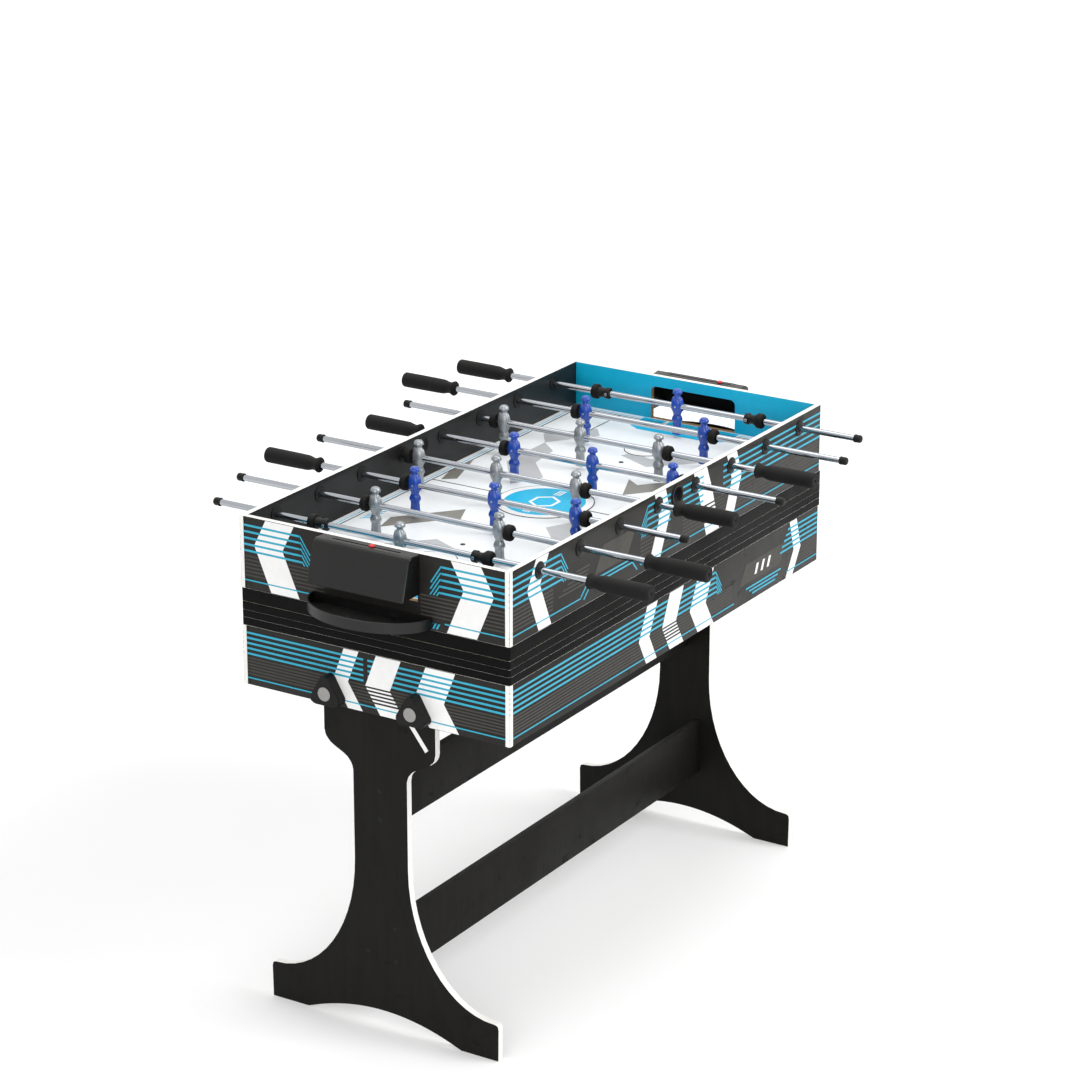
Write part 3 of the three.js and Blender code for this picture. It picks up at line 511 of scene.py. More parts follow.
# copies in a row, by Geometry Nodes

def makeRowTree():
    tree = bpy.data.node_groups.new("rowOfCopies", "GeometryNodeTree")
    for name, kind in (
        ("Geometry", "NodeSocketGeometry"), ("Count", "NodeSocketInt"), ("Start", "NodeSocketVector"),
        ("Step", "NodeSocketVector"), ("Size", "NodeSocketFloat"), ("Finish", "NodeSocketMaterial")
    ):
        tree.interface.new_socket(name, in_out="INPUT", socket_type=kind)
    tree.interface.new_socket("Geometry", in_out="OUTPUT", socket_type="NodeSocketGeometry")
    given, made = tree.nodes.new("NodeGroupInput"), tree.nodes.new("NodeGroupOutput")
    line = addNode(
        tree, "GeometryNodeMeshLine",
        {
            "Count": given.outputs["Count"], "Start Location": given.outputs["Start"],
            "Offset": given.outputs["Step"]})
    copies = addNode(tree, "GeometryNodeInstanceOnPoints", {
        "Points": line.outputs[0], "Instance": given.outputs["Geometry"], "Scale": given.outputs["Size"],
    })
    real = addNode(tree, "GeometryNodeRealizeInstances", {0: copies.outputs[0]})
    painted = addNode(
        tree, "GeometryNodeSetMaterial", {"Geometry": real.outputs[0], "Material": given.outputs["Finish"]})
    tree.links.new(painted.outputs[0], made.inputs[0])
    return tree


rowTree = makeRowTree()


def rowShape(shape, count, start, step, size=1.0):  # copies of a shape, as one shape
    piece = looseObject("rowPiece", shape)
    row = piece.modifiers.new("row", "NODES")
    row.node_group = rowTree
    sockets = {item.name: item.identifier for item in rowTree.interface.items_tree if item.in_out == "INPUT"}
    for name, value in (("Count", count), ("Start", start), ("Step", step), ("Size", size)):
        row[sockets[name]] = value
    mesh = asPlainMesh(piece)
    made = bmesh.new()
    made.from_mesh(mesh)
    bpy.data.meshes.remove(mesh)
    dropObject(piece)
    return made


# printed artwork: thin closed films on a flat face

filmStep = 0.14  # how far each layer of print stands over the one below
filmFoot = -0.05  # a print's underside, a little inside the face that carries it


def clipPolygon(points, low, high):  # keeps what lies inside a rectangle
    for axis in (0, 1):
        for bound, sign in ((low[axis], 1), (high[axis], -1)):
            kept = []
            for i, here in enumerate(points):
                before = points[i - 1]
                inHere, inBefore = sign * (here[axis] - bound) >= 0, sign * (before[axis] - bound) >= 0
                if inHere != inBefore:
                    t = (bound - before[axis]) / (here[axis] - before[axis])
                    kept.append(
                        (before[0] + t * (here[0] - before[0]), before[1] + t * (here[1] - before[1])))
                if inHere:
                    kept.append(here)
            points = kept
            if len(points) < 3:
                return []
    return points


def printArt(name, body, plane, size, items, margin=1.2):
    origin, right, up = (Vector(v) for v in plane)
    out = right.cross(up)
    names = []
    shape = bmesh.new()
    for finish, layer, polygon in items:
        polygon = clipPolygon(
            [tuple(p) for p in polygon], (margin, margin), (size[0] - margin, size[1] - margin))
        if len(polygon) < 3:
            continue
        if finish not in names:
            names.append(finish)
        rings = [[shape.verts.new(origin + right * u + up * v + out * lift) for u, v in polygon]
                 for lift in (filmFoot, layer * filmStep)]
        faces = [shape.faces.new(ring) for ring in rings]
        for i in range(len(polygon)):
            k = (i + 1) % len(polygon)
            faces.append(shape.faces.new([rings[0][i], rings[0][k], rings[1][k], rings[1][i]]))
        for face in faces:
            face.material_index = names.index(finish)
    return makePiece(name, shape, body, names)


def printFlat(name, body, corner, size, items, margin=1.2):  # artwork on a face that looks up
    return printArt(name, body, (corner, (1, 0, 0), (0, 1, 0)), size, items, margin)


def bar(u0, u1, v, thickness):
    return [
        (u0, v - thickness / 2), (u1, v - thickness / 2), (u1, v + thickness / 2), (u0, v + thickness / 2)]


def ribbon(points, width):  # a mitred line as one quad for each stretch
    sides = []
    for i, point in enumerate(points):
        here = Vector(point)
        before = (here - Vector(points[i - 1])).normalized() if i else None
        after = (Vector(points[i + 1]) - here).normalized() if i + 1 < len(points) else None
        first, second = before or after, after or before
        across = Vector((-(first.y + second.y), first.x + second.x)).normalized()
        stretch = 1.0 / max(0.35, across.dot(Vector((-first.y, first.x))))
        offset = across * (width / 2 * stretch)
        sides.append((here + offset, here - offset))
    return [[sides[i][0], sides[i + 1][0], sides[i + 1][1], sides[i][1]] for i in range(len(points) - 1)]


def disc(u, v, radius, start=0.0, end=2 * math.pi, count=56):
    last = count if end - start >= 2 * math.pi - 0.01 else count + 1
    turns = [start + (end - start) * i / count for i in range(last)]
    return [(u + radius * math.cos(a), v + radius * math.sin(a)) for a in turns]


def slant(u, v, width, lean, height):  # a leaning bar from its lower left corner
    return [(u, v), (u + width, v), (u + width + lean, v + height), (u + lean, v + height)]


def hexagon(u, v, tip, flat, half):
    return [
        (u - tip, v), (u - flat, v - half), (u + flat, v - half), (u + tip, v), (u + flat, v + half),
        (u - flat, v + half)]


def chevron(height, kink, top, middle, bottom, width):  # a slanted band, as its lower and upper half
    kinkHeight = height * kink
    lower = [(bottom, 0), (bottom + width, 0), (middle + width, kinkHeight), (middle, kinkHeight)]
    upper = [(middle, kinkHeight), (middle + width, kinkHeight), (top + width, height), (top, height)]
    return lower, upper


# camera, floor and light

cameraView = {
    "focalPixels": 3547.0,  # on a frame 1080 pixels wide
    "framePixels": 1080.0,
    "sensor": 36.0,
    "azimuth": -57.99,
    "elevation": 19.5,
    "distance": 7257.0,
    "target": (0.0, 0.0, 500.0),
    "right": -9.3,  # the target's shift in the picture plane
    "up": 316.4,
}


def makeCamera(view):
    azimuth, elevation = math.radians(view["azimuth"]), math.radians(view["elevation"])
    back = Vector((
        math.sin(azimuth) * math.cos(elevation),
        -math.cos(azimuth) * math.cos(elevation),
        math.sin(elevation),
    ))
    right = Vector((math.cos(azimuth), math.sin(azimuth), 0.0))
    up = back.cross(right)
    target = Vector(view["target"]) + right * view["right"] + up * view["up"]
    data = bpy.data.cameras.new("photoCamera")
    data.sensor_width = view["sensor"]
    data.lens = view["focalPixels"] / view["framePixels"] * view["sensor"]
    data.clip_end = 100.0
    camera = bpy.data.objects.new("photoCamera", data)
    scene.collection.objects.link(camera)
    camera.location = (target + back * view["distance"]) * mm
    camera.rotation_euler = back.to_track_quat("Z", "Y").to_euler()
    scene.camera = camera


studio = {
    "floorSize": 60.0,
    "worldStrength": 0.70,
    "lamps": {  # place and size in metres, power in watts
        "key": ((1.2, -4.2, 4.0), 3.4, 172.0),
        "fill": ((-5.0, -1.6, 2.1), 3.2, 80.0),
        "top": ((0.4, 0.6, 5.2), 4.0, 82.0),
    },
    "lampAim": (0.0, 0.0, 0.7),
    "floorGlow": (0.16, 0.56), "glowReach": (1.2, 5.0),  # how white the floor looks, near and far
}


def makeLamp(name, place, size, power):
    data = bpy.data.lights.new(name, "AREA")
    data.shape = "DISK"
    data.size = size
    data.energy = power
    lamp = bpy.data.objects.new(name, data)
    scene.collection.objects.link(lamp)
    lamp.location = place
    aim = Vector(place) - Vector(studio["lampAim"])
    lamp.rotation_euler = aim.to_track_quat("Z", "Y").to_euler()


def seenDirectly(tree):  # 1 for what the camera or a mirror sees, 0 for what only lights the scene
    path = addNode(tree, "ShaderNodeLightPath").outputs
    mirrored = calc(tree, "MAXIMUM", path["Is Camera Ray"], path["Is Glossy Ray"])
    return calc(tree, "MAXIMUM", mirrored, path["Is Transmission Ray"])


def makeWorld():
    world = bpy.data.worlds.new("studio")
    scene.world = world
    world.use_nodes = True
    tree = world.node_tree
    tree.nodes.clear()
    white = (1, 1, 1, 1)
    soft = addNode(tree, "ShaderNodeBackground", {"Color": white, "Strength": studio["worldStrength"]})
    bright = addNode(tree, "ShaderNodeBackground", {"Color": white, "Strength": 1.0})
    both = addNode(
        tree, "ShaderNodeMixShader", {0: seenDirectly(tree), 1: soft.outputs[0], 2: bright.outputs[0]})
    addNode(tree, "ShaderNodeOutputWorld", {"Surface": both.outputs[0]})


def makeFloor():
    shape = bmesh.new()
    bmesh.ops.create_grid(shape, x_segments=4, y_segments=4, size=studio["floorSize"] / 2)
    mesh = bpy.data.meshes.new("studioFloor")
    shape.to_mesh(mesh)
    shape.free()
    floor = bpy.data.objects.new("studioFloor", mesh)
    scene.collection.objects.link(floor)
    material = bpy.data.materials.new("paleFloor")
    material.use_nodes = True
    tree = material.node_tree
    tree.nodes.clear()
    place = addNode(tree, "ShaderNodeTexCoord").outputs["Object"]
    away = addNode(tree, "ShaderNodeVectorMath", {0: place}, operation="LENGTH").outputs["Value"]
    (glowNear, glowFar), (near, far) = studio["floorGlow"], studio["glowReach"]
    rise = addNode(tree, "ShaderNodeMapRange", {
        "Value": away, "From Min": near, "From Max": far, "To Min": glowNear, "To Max": glowFar,
    }).outputs[0]
    matt = addNode(tree, "ShaderNodeBsdfDiffuse", {"Color": (0.82, 0.82, 0.82, 1)})
    strength = calc(tree, "MULTIPLY", seenDirectly(tree), rise)
    glow = addNode(tree, "ShaderNodeEmission", {"Color": (1, 1, 1, 1), "Strength": strength})
    both = addNode(tree, "ShaderNodeAddShader", {0: matt.outputs[0], 1: glow.outputs[0]})
    addNode(tree, "ShaderNodeOutputMaterial", {"Surface": both.outputs[0]})
    mesh.materials.append(material)


makeCamera(cameraView)
for lampName, settings in studio["lamps"].items():
    makeLamp(lampName, *settings)
makeWorld()
makeFloor()
scene.view_settings.view_transform = "Standard"
print("camera, lamps and floor")


# trestle

legForm = {
    "archHeight": 38, "padInner": 181, "footHalfSpan": 267, "footHeight": 77, "footCorner": 10,
    "neckHalfWidth": 62, "flareTop": 352, "neckTop": 536, "topHalfWidth": 128, "shoulderHeight": 607,
    "topHeight": 725, "topCorner": 12, "handle": 0.55, "steps": 14, "edge": 0.9,
    "slash": [(-58, 668), (-70, 668), (-112, 613), (-105, 607)],  # the white strip on the outside, in (y, z)
    "screws": [(0, 446), (0, 505), (-32, 152), (-32, 222), (34, 160.5)],
}


def curvePoints(points, steps):  # a Bezier curve of any degree, without its first point
    made = []
    for k in range(1, steps + 1):
        t = k / steps
        level = [Vector(p) for p in points]
        while len(level) > 1:
            level = [a * (1 - t) + b * t for a, b in zip(level, level[1:])]
        made.append(tuple(level[0]))
    return made


def legOutline(g):
    footEnd = g["footHalfSpan"] - g["footCorner"]
    flareWidth, flareRise = footEnd - g["neckHalfWidth"], g["flareTop"] - g["footHeight"]
    shoulderRise = g["shoulderHeight"] - g["neckTop"]
    half = [(0, g["archHeight"])]
    half += curvePoints([half[0], (g["padInner"] / 2, g["archHeight"]), (g["padInner"], 0)], 16)
    half += [(g["footHalfSpan"], 0), (g["footHalfSpan"], g["footHeight"] - g["footCorner"])]
    half += curvePoints([half[-1], (g["footHalfSpan"], g["footHeight"]), (footEnd, g["footHeight"])], 6)
    half += curvePoints([
        half[-1], (footEnd - g["handle"] * flareWidth, g["footHeight"]),
        (g["neckHalfWidth"], g["flareTop"] - g["handle"] * flareRise), (g["neckHalfWidth"], g["flareTop"]),
    ], g["steps"])
    half.append((g["neckHalfWidth"], g["neckTop"]))
    half += curvePoints(
        [
            half[-1], (g["neckHalfWidth"], g["neckTop"] + g["handle"] * shoulderRise),
            (g["topHalfWidth"], g["shoulderHeight"] - g["handle"] * shoulderRise),
            (g["topHalfWidth"], g["shoulderHeight"])],
        g["steps"])
    half.append((g["topHalfWidth"], g["topHeight"] - g["topCorner"]))
    half += curvePoints(
        [half[-1], (g["topHalfWidth"], g["topHeight"]), (g["topHalfWidth"] - g["topCorner"], g["topHeight"])],
        6)
    half.append((0, g["topHeight"]))
    return half + [(-u, v) for u, v in reversed(half[1:-1])]


def makeTrestle():
    outline = legOutline(legForm)
    # heads of the dowel screws, on the outside of each leg panel
    head = [(0, 0.9), (2.2, 0.9), (2.6, 0.3), (4.6, 0.35), (5.4, 0.05), (5.4, -0.3), (0, -0.3)]
    for end, side in ends:
        node = end + "_leg_panel"
        x = limitsOf(node)[0]
        face = x[0] if side < 0 else x[1]
        holes = [pegShape(table["boltHole"], (x[0] - 4, x[1] + 4), "x", (y, table["boltHeight"]), 28)
                 for y in (-table["boltSide"], table["boltSide"])]
        makePiece(
            end + "LegPanel", cutShape(prismShape(outline, "x", x, legForm["edge"]), holes), "leg_frame",
            ("legLaminate", "whiteEdge"), [node],
            paint=lambda n, c: "legLaminate" if abs(n.x) > 0.75 else "whiteEdge")
        plane = ((face, -side * 300, 0), (0, side, 0), (0, 0, 1))  # its corner lies beyond the panel
        slash = [(300 + side * y, z) for y, z in legForm["slash"]]
        printArt(end + "LegSlash", "leg_frame", plane, (600, 800), [("whiteInk", 1, slash)])
        screws = bmesh.new()
        for y, z in legForm["screws"]:
            addShape(screws, turnedShape([(r, face + side * h) for r, h in head], "x", (y, z), 20))
        makePiece(end + "LegScrews", screws, "leg_frame", "blackPlastic")
    for node, name in (
        ("upper_stretcher", "upperStretcher"), ("lower_stretcher", "lowerStretcher"),
        ("lower_ledge", "lowerLedge")
    ):
        makePiece(
            name, blockShape(*limitsOf(node), 0.8), "leg_frame", "legLaminate", [node])


makeTrestle()
print("trestle")

# side artwork shared by the cabinet and the football box

stripes = {  # shares of the side's height at which the rows of lines start and end, and their thickness
    "cyanRows": (0.12, 0.47, 5), "cyanThick": 4.2, "greyRows": (0.545, 0.81, 6), "greyThick": 3.2,
    "blackRows": (0.56, 0.80, 5), "blackThick": 3.4, "bottomLine": 0.12, "bottomThick": 2.6,
    "cabinetKink": 0.45, "boxKink": 0.62,
}


def rowsOf(height, rows):
    first, last, count = rows
    return [height * (1 - first - (last - first) * i / (count - 1)) for i in range(count)]


def stripeItems(height, spans, greySpans, bottomSpans):
    items = []
    for v in rowsOf(height, stripes["cyanRows"]):
        items += [("cyanInk", 3, bar(u0, u1, v, stripes["cyanThick"])) for u0, u1 in spans]
    for v in rowsOf(height, stripes["greyRows"]):
        items += [("greyInk", 1, bar(u0, u1, v, stripes["greyThick"])) for u0, u1 in greySpans]
    bottom = height * stripes["bottomLine"]
    return items + [("cyanInk", 3, bar(u0, u1, bottom, stripes["bottomThick"])) for u0, u1 in bottomSpans]


def bandItems(height, kink, top, middle, bottom, width, blackBars=False):
    items = [("whiteInk", 2, part) for part in chevron(height, kink, top, middle, bottom, width)]
    if blackBars:
        for v in rowsOf(height, stripes["blackRows"]):
            u = bottom + (middle - bottom) * (v / (height * kink))
            items.append(("darkInk", 4, bar(u - 1, u + width + 1, v, stripes["blackThick"])))
    return items


def bentLines(height, startU, direction, reach):  # the cyan lines run out in thin parallel strokes
    items = []
    rows = rowsOf(height, stripes["cyanRows"])
    lowest, thick, steep, stroke = rows[-1] - 7, stripes["cyanThick"], 1.5, 3.2
    for i, v in enumerate(rows):
        turn, top = startU + direction * (2 + 1.2 * i), v + thick / 2
        run = direction * min(reach, (top - lowest) / steep)
        inner, foot = turn - direction * stroke, top - abs(run) * steep
        items.append(("cyanInk", 3, bar(startU - direction * 0.5, turn - direction * stroke / 2, v, thick)))
        items.append(("cyanInk", 3, [(inner, top), (turn, top), (turn + run, foot), (inner + run, foot)]))
    return items


def cabinetEndArt(height):
    kink = stripes["cabinetKink"]
    items = stripeItems(height, [(0, 282), (292, 610)], [(0, 610)], [(0, 610)])
    items += bandItems(height, kink, 238, 212, 246, 34)
    items += bandItems(height, kink, 312, 286, 320, 56, True)
    items += bandItems(height, kink, 424, 398, 432, 66)
    return items + [("whiteInk", 4, chevron(height, kink, 312, 286, 320, 56)[1])]


def cabinetSideArt(height):
    kink = stripes["cabinetKink"]
    items = stripeItems(height, [(0, 770), (1090, 1220)], [(0, 840), (1075, 1220)], [(0, 850), (1075, 1220)])
    items += bandItems(height, kink, 500, 468, 498, 40)
    items += bandItems(height, kink, 588, 558, 590, 54, True)
    items += bandItems(height, kink, 700, 668, 702, 64)
    items += bandItems(height, kink, 1086, 1106, 1072, 30)
    items += bentLines(height, 770, 1, 26)
    for i, v in enumerate(rowsOf(height, stripes["cyanRows"])):
        items.append(("cyanInk", 3, bar(1078 - 8 * i, 1090, v, stripes["cyanThick"])))
    for i, v in enumerate((30, 22, 14)):
        items.append(("cyanInk", 3, bar(900 + 14 * i, 1050 - 12 * i, v, 3.6)))
    items.append(("greyInk", 1, slant(872, 42, 174, 28, 42)))
    items += [("whiteInk", 2, slant(u, 52, 9, 9, 22)) for u in (936, 962, 988)]
    return items + [("whiteInk", 4, chevron(height, kink, 588, 558, 590, 54)[1])]


def boxEndArt(height):
    kink = stripes["boxKink"]
    items = stripeItems(height, [(0, 140), (462, 610)], [(0, 196), (414, 610)], [(0, 392), (468, 610)])
    items += bandItems(height, kink, 62, 34, 72, 66) + bandItems(height, kink, 482, 510, 472, 66)
    items += bentLines(height, 140, 1, 24) + bentLines(height, 462, -1, 24)
    return items + [("cyanInk", 4, slant(416 + 8 * k, 4, 4, 6, 11)) for k in range(5)]


def boxSideArt(height):
    kink = stripes["boxKink"]
    cyan = [(0, 176), (500, 586), (634, 716), (796, 1220)]
    items = stripeItems(height, cyan, [(0, 150), (470, 586), (634, 1220)], [(0, 250), (470, 1220)])
    items += bandItems(height, kink, 92, 60, 100, 44)
    items += bandItems(height, kink, 524, 542, 500, 42)
    items += bandItems(height, kink, 676, 700, 730, 52, True)
    items += bandItems(height, kink, 810, 832, 796, 40)
    items += bentLines(height, 176, 1, 26) + bentLines(height, 500, -1, 26)
    for i in range(5):
        u = 170 + 16 * i
        items.append(("greyInk", 1, bar(u, u + 96 - 12 * i, height * (0.30 + 0.055 * i), 3.4)))
    for i, v in enumerate((40, 32)):
        near, far = 10 * i, -12 * i
        line = [(250 + near, v - 20), (272 + near, v), (452 + far, v), (470 + far, v - 20)]
        items += [("cyanInk", 3, quad) for quad in ribbon(line, 3.4)]
    return items + [("greyInk", 1, slant(300, 48, 120, 32, 52))]


sideTurns = {  # signs of the lower left corner's place and the way right, seen from outside
    "near": (-1, 1, (0, -1, 0)), "far": (1, -1, (0, 1, 0)),
    "front": (-1, -1, (1, 0, 0)), "back": (1, 1, (-1, 0, 0)),
}


def dressSide(prefix, side, body, base, height, art):
    sx, sy, right = sideTurns[side]
    x, y = table["halfLength"], table["halfWidth"]
    plane = ((sx * x, sy * y, base), right, (0, 0, 1))
    size = (2 * (y if side in ("near", "far") else x), height)
    printArt(prefix + side.capitalize() + "Print", body, plane, size, art(height))


def sidePaint(axis, inner):  # white top edge, black inside, laminate outside
    def paint(n, c):
        if n.z > 0.4:
            return "whiteEdge"
        return "insideBlack" if abs(c[axis]) < inner else "blackLaminate"

    return paint


def cornerStrips(name, body, base, height):
    leg, proud, thick = 9.5, 0.5, 1.6
    x, y = table["halfLength"], table["halfWidth"]
    outer = [(x + proud, y - leg), (x + proud, y + proud), (x - leg, y + proud)]
    outline = outer[:1] + softCorners(outer, 3.2, steps=6)[1:]
    inside = thick - proud
    outline += [(x - leg, y - inside), (x - inside, y - inside), (x - inside, y - leg)]
    strips = bmesh.new()
    for sx in (-1, 1):
        for sy in (-1, 1):
            points = [(sx * u, sy * v) for u, v in outline]
            addShape(strips, prismShape(points, "z", (base + 0.2, base + height - 0.2), 0.25, 1))
    makePiece(name, strips, body, "whiteEdge")


# pool cabinet

def makeCabinet():
    base, top = limitsOf("front_apron")[2]
    edge, looks = 0.9, ("blackLaminate", "whiteEdge", "insideBlack")
    skin = 5  # what lies deeper than this shows the black inside
    for side in ("front", "back"):
        node = side + "_apron"
        makePiece(
            side + "Apron", blockShape(*limitsOf(node), edge), "pool_cabinet", looks,
            [node], paint=sidePaint(1, table["halfWidth"] - skin))
        dressSide("cabinet", side, "pool_cabinet", base, top - base, cabinetSideArt)
    for end, side in ends:
        node = end + "_end_apron"
        through = (side * (table["halfLength"] - 20), side * (table["halfLength"] + 5))
        holes = [pegShape(table["boltHole"], through, "x", (y, table["boltHeight"]), 24)
                 for y in (-table["boltSide"], table["boltSide"])]
        makePiece(end + "EndApron", cutShape(blockShape(*limitsOf(node), edge), holes), "pool_cabinet", looks,
                  [node], paint=sidePaint(0, table["halfLength"] - skin))
        dressSide("cabinet", end, "pool_cabinet", base, top - base, cabinetEndArt)
    cornerStrips("cabinetCornerStrips", "pool_cabinet", base, top - base)


makeCabinet()
print("cabinet")

knobForm = {"reach": 25, "lobe": 11, "thick": 24, "disc": 14, "edge": 2.2, "shank": 6}


def makeKnobs():
    f, z = knobForm, table["boltHeight"]
    outline = []
    for i in range(3):
        middle = math.pi / 2 + i * 2 * math.pi / 3
        cu, cv = f["reach"] * math.cos(middle), f["reach"] * math.sin(middle)
        for k in range(13):
            angle = middle - math.pi / 3 + 2 * math.pi / 3 * k / 12
            outline.append((cu + f["lobe"] * math.cos(angle), cv + f["lobe"] * math.sin(angle)))
    for end, side in ends:
        face, front, dialSize = side * endFace, side * (endFace + f["thick"]), f["disc"]
        for role, y in (("pivot", -table["boltSide"]), ("lock", table["boltSide"])):
            node = f"{end}_{role}_knob"
            x = limitsOf(node)[0]
            body = prismShape([(y + u, z + v) for u, v in outline], "x", (face, front), 0)
            frontEdges = [e for e in body.edges if all(abs(v.co.x - front) < 0.01 for v in e.verts)]
            softEdges(body, frontEdges, f["edge"], 4)
            shank = pegShape(f["shank"], (x[1] if side < 0 else x[0], face), "x", (y, z), 28)
            rim = [(0, -2), (dialSize + 1.6, -2), (dialSize + 1.6, 0.3), (dialSize + 1.2, 0.6), (0, 0.6)]
            seat = turnedShape([(r, front + side * t) for r, t in rim], "x", (y, z), 40)
            shape = addShape(addShape(body, shank), seat)
            name = end + role.capitalize() + "Knob"
            makePiece(name, shape, "pool_cabinet", "blackPlastic", [node])
            dial = [(0, 0), (dialSize, 0), (dialSize, 0.8), (dialSize - 0.5, 1.2), (0, 1.25)]
            dial = turnedShape([(r, front + side * t) for r, t in dial], "x", (y, z), 40)
            makePiece(name + "Disc", dial, "pool_cabinet", "greyDisc")


makeKnobs()

# insideX and insideY are the boards' inner faces
poolForm = {
    "insideX": 595, "insideY": 290, "hole": 27, "wall": 3, "clear": 30.3, "middle": 30.6, "block": 66,
    "jaw": 20, "middleJaw": 22, "mouth": 25.4, "lip": 13.4, "cushionWidth": 38, "nose": 24,
    "cushionHeight": 37, "mitre": 16, "middleMitre": 9, "headLine": 0.74, "spot": 0.27, "spotRadius": 3.0,
    "lineThick": 1.2, "lineMargin": 39
}
bedTop = limitsOf("pool_bed")[2][1]


def pocketSpots():
    x, y = poolForm["insideX"] - poolForm["middle"], poolForm["insideY"] - poolForm["middle"]
    return [("near_front_pocket", -x, -y), ("far_front_pocket", x, -y), ("far_back_pocket", x, y),
            ("near_back_pocket", -x, y), ("middle_front_pocket", 0, -y), ("middle_back_pocket", 0, y)]


def titleOf(node):
    return node.replace("_", " ").title().replace(" ", "")


def pocketOutlines(corner):  # block, cap and mouth, from the boards' inner faces to the table
    f = poolForm
    jaw, middle, lip, reach = f["jaw"], f["middle"], -f["lip"], 60
    if corner:
        side, half = f["block"], f["mouth"] / math.sqrt(2)
        low, high = middle - half, middle + half
        block = [(0, 0), (side, 0), (side, jaw), (jaw, side), (0, side)]
        cap = [
            (lip, lip), (78, lip), (74, 0), (side, 3), (side, jaw), (jaw, side), (3, side), (0, 74), (lip, 78)
        ]
        return block, cap, [
            (low, high), (high, low), (high + reach, low + reach), (low + reach, high + reach)]
    w, jaw, mouth = f["block"] / 2, f["middleJaw"], f["mouth"]
    cap = [(-w - 7, lip), (w + 7, lip), (w + 4, 0), (w, 2), (w, jaw), (-w, jaw), (-w, 2), (-w - 4, 0)]
    return [(-w, 0), (w, 0), (w, jaw), (-w, jaw)], cap, [
        (-mouth, middle), (mouth, middle), (mouth, 80), (-mouth, 80)]


def makePockets():
    hole, outer = poolForm["hole"], poolForm["hole"] + poolForm["wall"]
    for node, x, y in pocketSpots():
        z0, z1 = limitsOf(node)[2]
        rim, above = z1 + 0.85, z1 + 4  # the cap lies over the boards' top edges
        sx, sy = math.copysign(1, x), math.copysign(1, y)
        block, cap, mouth = [
            [(sx * (poolForm["insideX"] - u) if x else u, sy * (poolForm["insideY"] - v)) for u, v in points]
            for points in pocketOutlines(x != 0)
        ]
        opening = (bedTop - 2, above)
        body = prismShape(block, "z", (bedTop - 0.5, z1 - 0.2))
        shape = cutShape(
            body, [pegShape(hole, (bedTop - 4, above), "z", (x, y), 56), prismShape(mouth, "z", opening)])
        lid = prismShape(softCorners(cap, 2.5, True, 3), "z", (z1 - 0.6, rim), 0.35, 2)
        bore = [
            (0, z1 - 3), (hole + 0.4, z1 - 3), (hole + 0.4, z1 - 0.1), (hole + 1.4, rim), (hole + 1.4, above),
            (0, above)]
        lid = cutShape(lid, [turnedShape(bore, "z", (x, y), 56), prismShape(mouth, "z", opening)])
        cup = [(0, z0), (outer - 4, z0), (outer - 0.8, z0 + 1.2), (outer, z0 + 4), (outer, bedTop - 0.3),
               (hole, bedTop - 0.3), (hole, z0 + 6), (hole - 1, z0 + 3.6), (hole - 3, z0 + 3), (0, z0 + 3)]
        addShape(addShape(shape, lid), turnedShape(cup, "z", (x, y), 56))
        makePiece(titleOf(node), shape, "pool_cabinet", "blackPlastic", [node], smooth=28)


def makeCushions():
    width, nose, height = poolForm["cushionWidth"], poolForm["nose"], poolForm["cushionHeight"]
    wide, slight = poolForm["mitre"], poolForm["middleMitre"]
    profile = softCorners(
        [
            (0, 0), (20, 0), (width, nose - 4), (width + 0.6, nose + 1), (width - 5, nose + 5.5),
            (16, height - 1.5), (0, height)],
        3.0, True, 4)
    for node, along, toward, mitres in (
        ("near_front_cushion", "x", 1, (wide, slight)), ("far_front_cushion", "x", 1, (slight, wide)),
        ("far_back_cushion", "x", -1, (slight, wide)), ("near_back_cushion", "x", -1, (wide, slight)),
        ("near_end_cushion", "y", 1, (wide, wide)), ("far_end_cushion", "y", -1, (wide, wide)),
    ):
        x, y, z = limitsOf(node)
        start, end = x if along == "x" else y
        back = (y if along == "x" else x)[0 if toward > 0 else 1]
        shape = bmesh.new()
        rings = []
        for place, slope in ((start, mitres[0]), (end, -mitres[1])):
            rings.append([])
            for depth, rise in profile:
                spot = (place + slope * depth / width, back + toward * min(depth, width - 0.1))
                spot = spot if along == "x" else spot[::-1]
                rings[-1].append(shape.verts.new((*spot, z[0] + rise)))
        caps = [shape.faces.new(ring) for ring in rings]
        joinRings(shape, [rings], len(profile))
        softEdges(shape, [e for cap in caps for e in cap.edges], 1.0, 2)
        makePiece(titleOf(node), shape, "pool_cabinet", "cloth", [node], smooth=50)


def makeBed():
    x, y, z = limitsOf("pool_bed")
    through, clear = (z[0] - 3, z[1] + 3), poolForm["clear"]
    notches = []
    for _, px, py in pocketSpots():
        sx, sy = math.copysign(1, px), math.copysign(1, py)
        notches.append(pegShape(clear, through, "z", (px, py), 56))
        across = sorted((px - sx * clear, px + sx * 40)) if px else (-clear, clear)
        notches.append(blockShape(across, sorted((py, py + sy * 40)), through, 0))
        if px:
            notches.append(
                blockShape(sorted((px, px + sx * 40)), sorted((py - sy * clear, py + sy * 40)), through, 0))
    shape = cutShape(blockShape(x, y, z, 0.4, 1), notches)
    makePiece("poolBed", shape, "pool_cabinet", ("cloth", "boardBack"), ["pool_bed"],
              paint=lambda n, c: "cloth" if n.z > -0.5 else "boardBack")
    width, length, f = y[1] - y[0], x[1] - x[0], poolForm
    headLine = f["headLine"] * length
    lines = [("darkInk", 1, bar(headLine, headLine + f["lineThick"], width / 2, width - 2 * f["lineMargin"])),
             ("darkInk", 1, disc(length * f["spot"], width / 2, f["spotRadius"]))]
    printFlat("poolMarkings", "pool_cabinet", (x[0], y[0], z[1]), (length, width), lines)


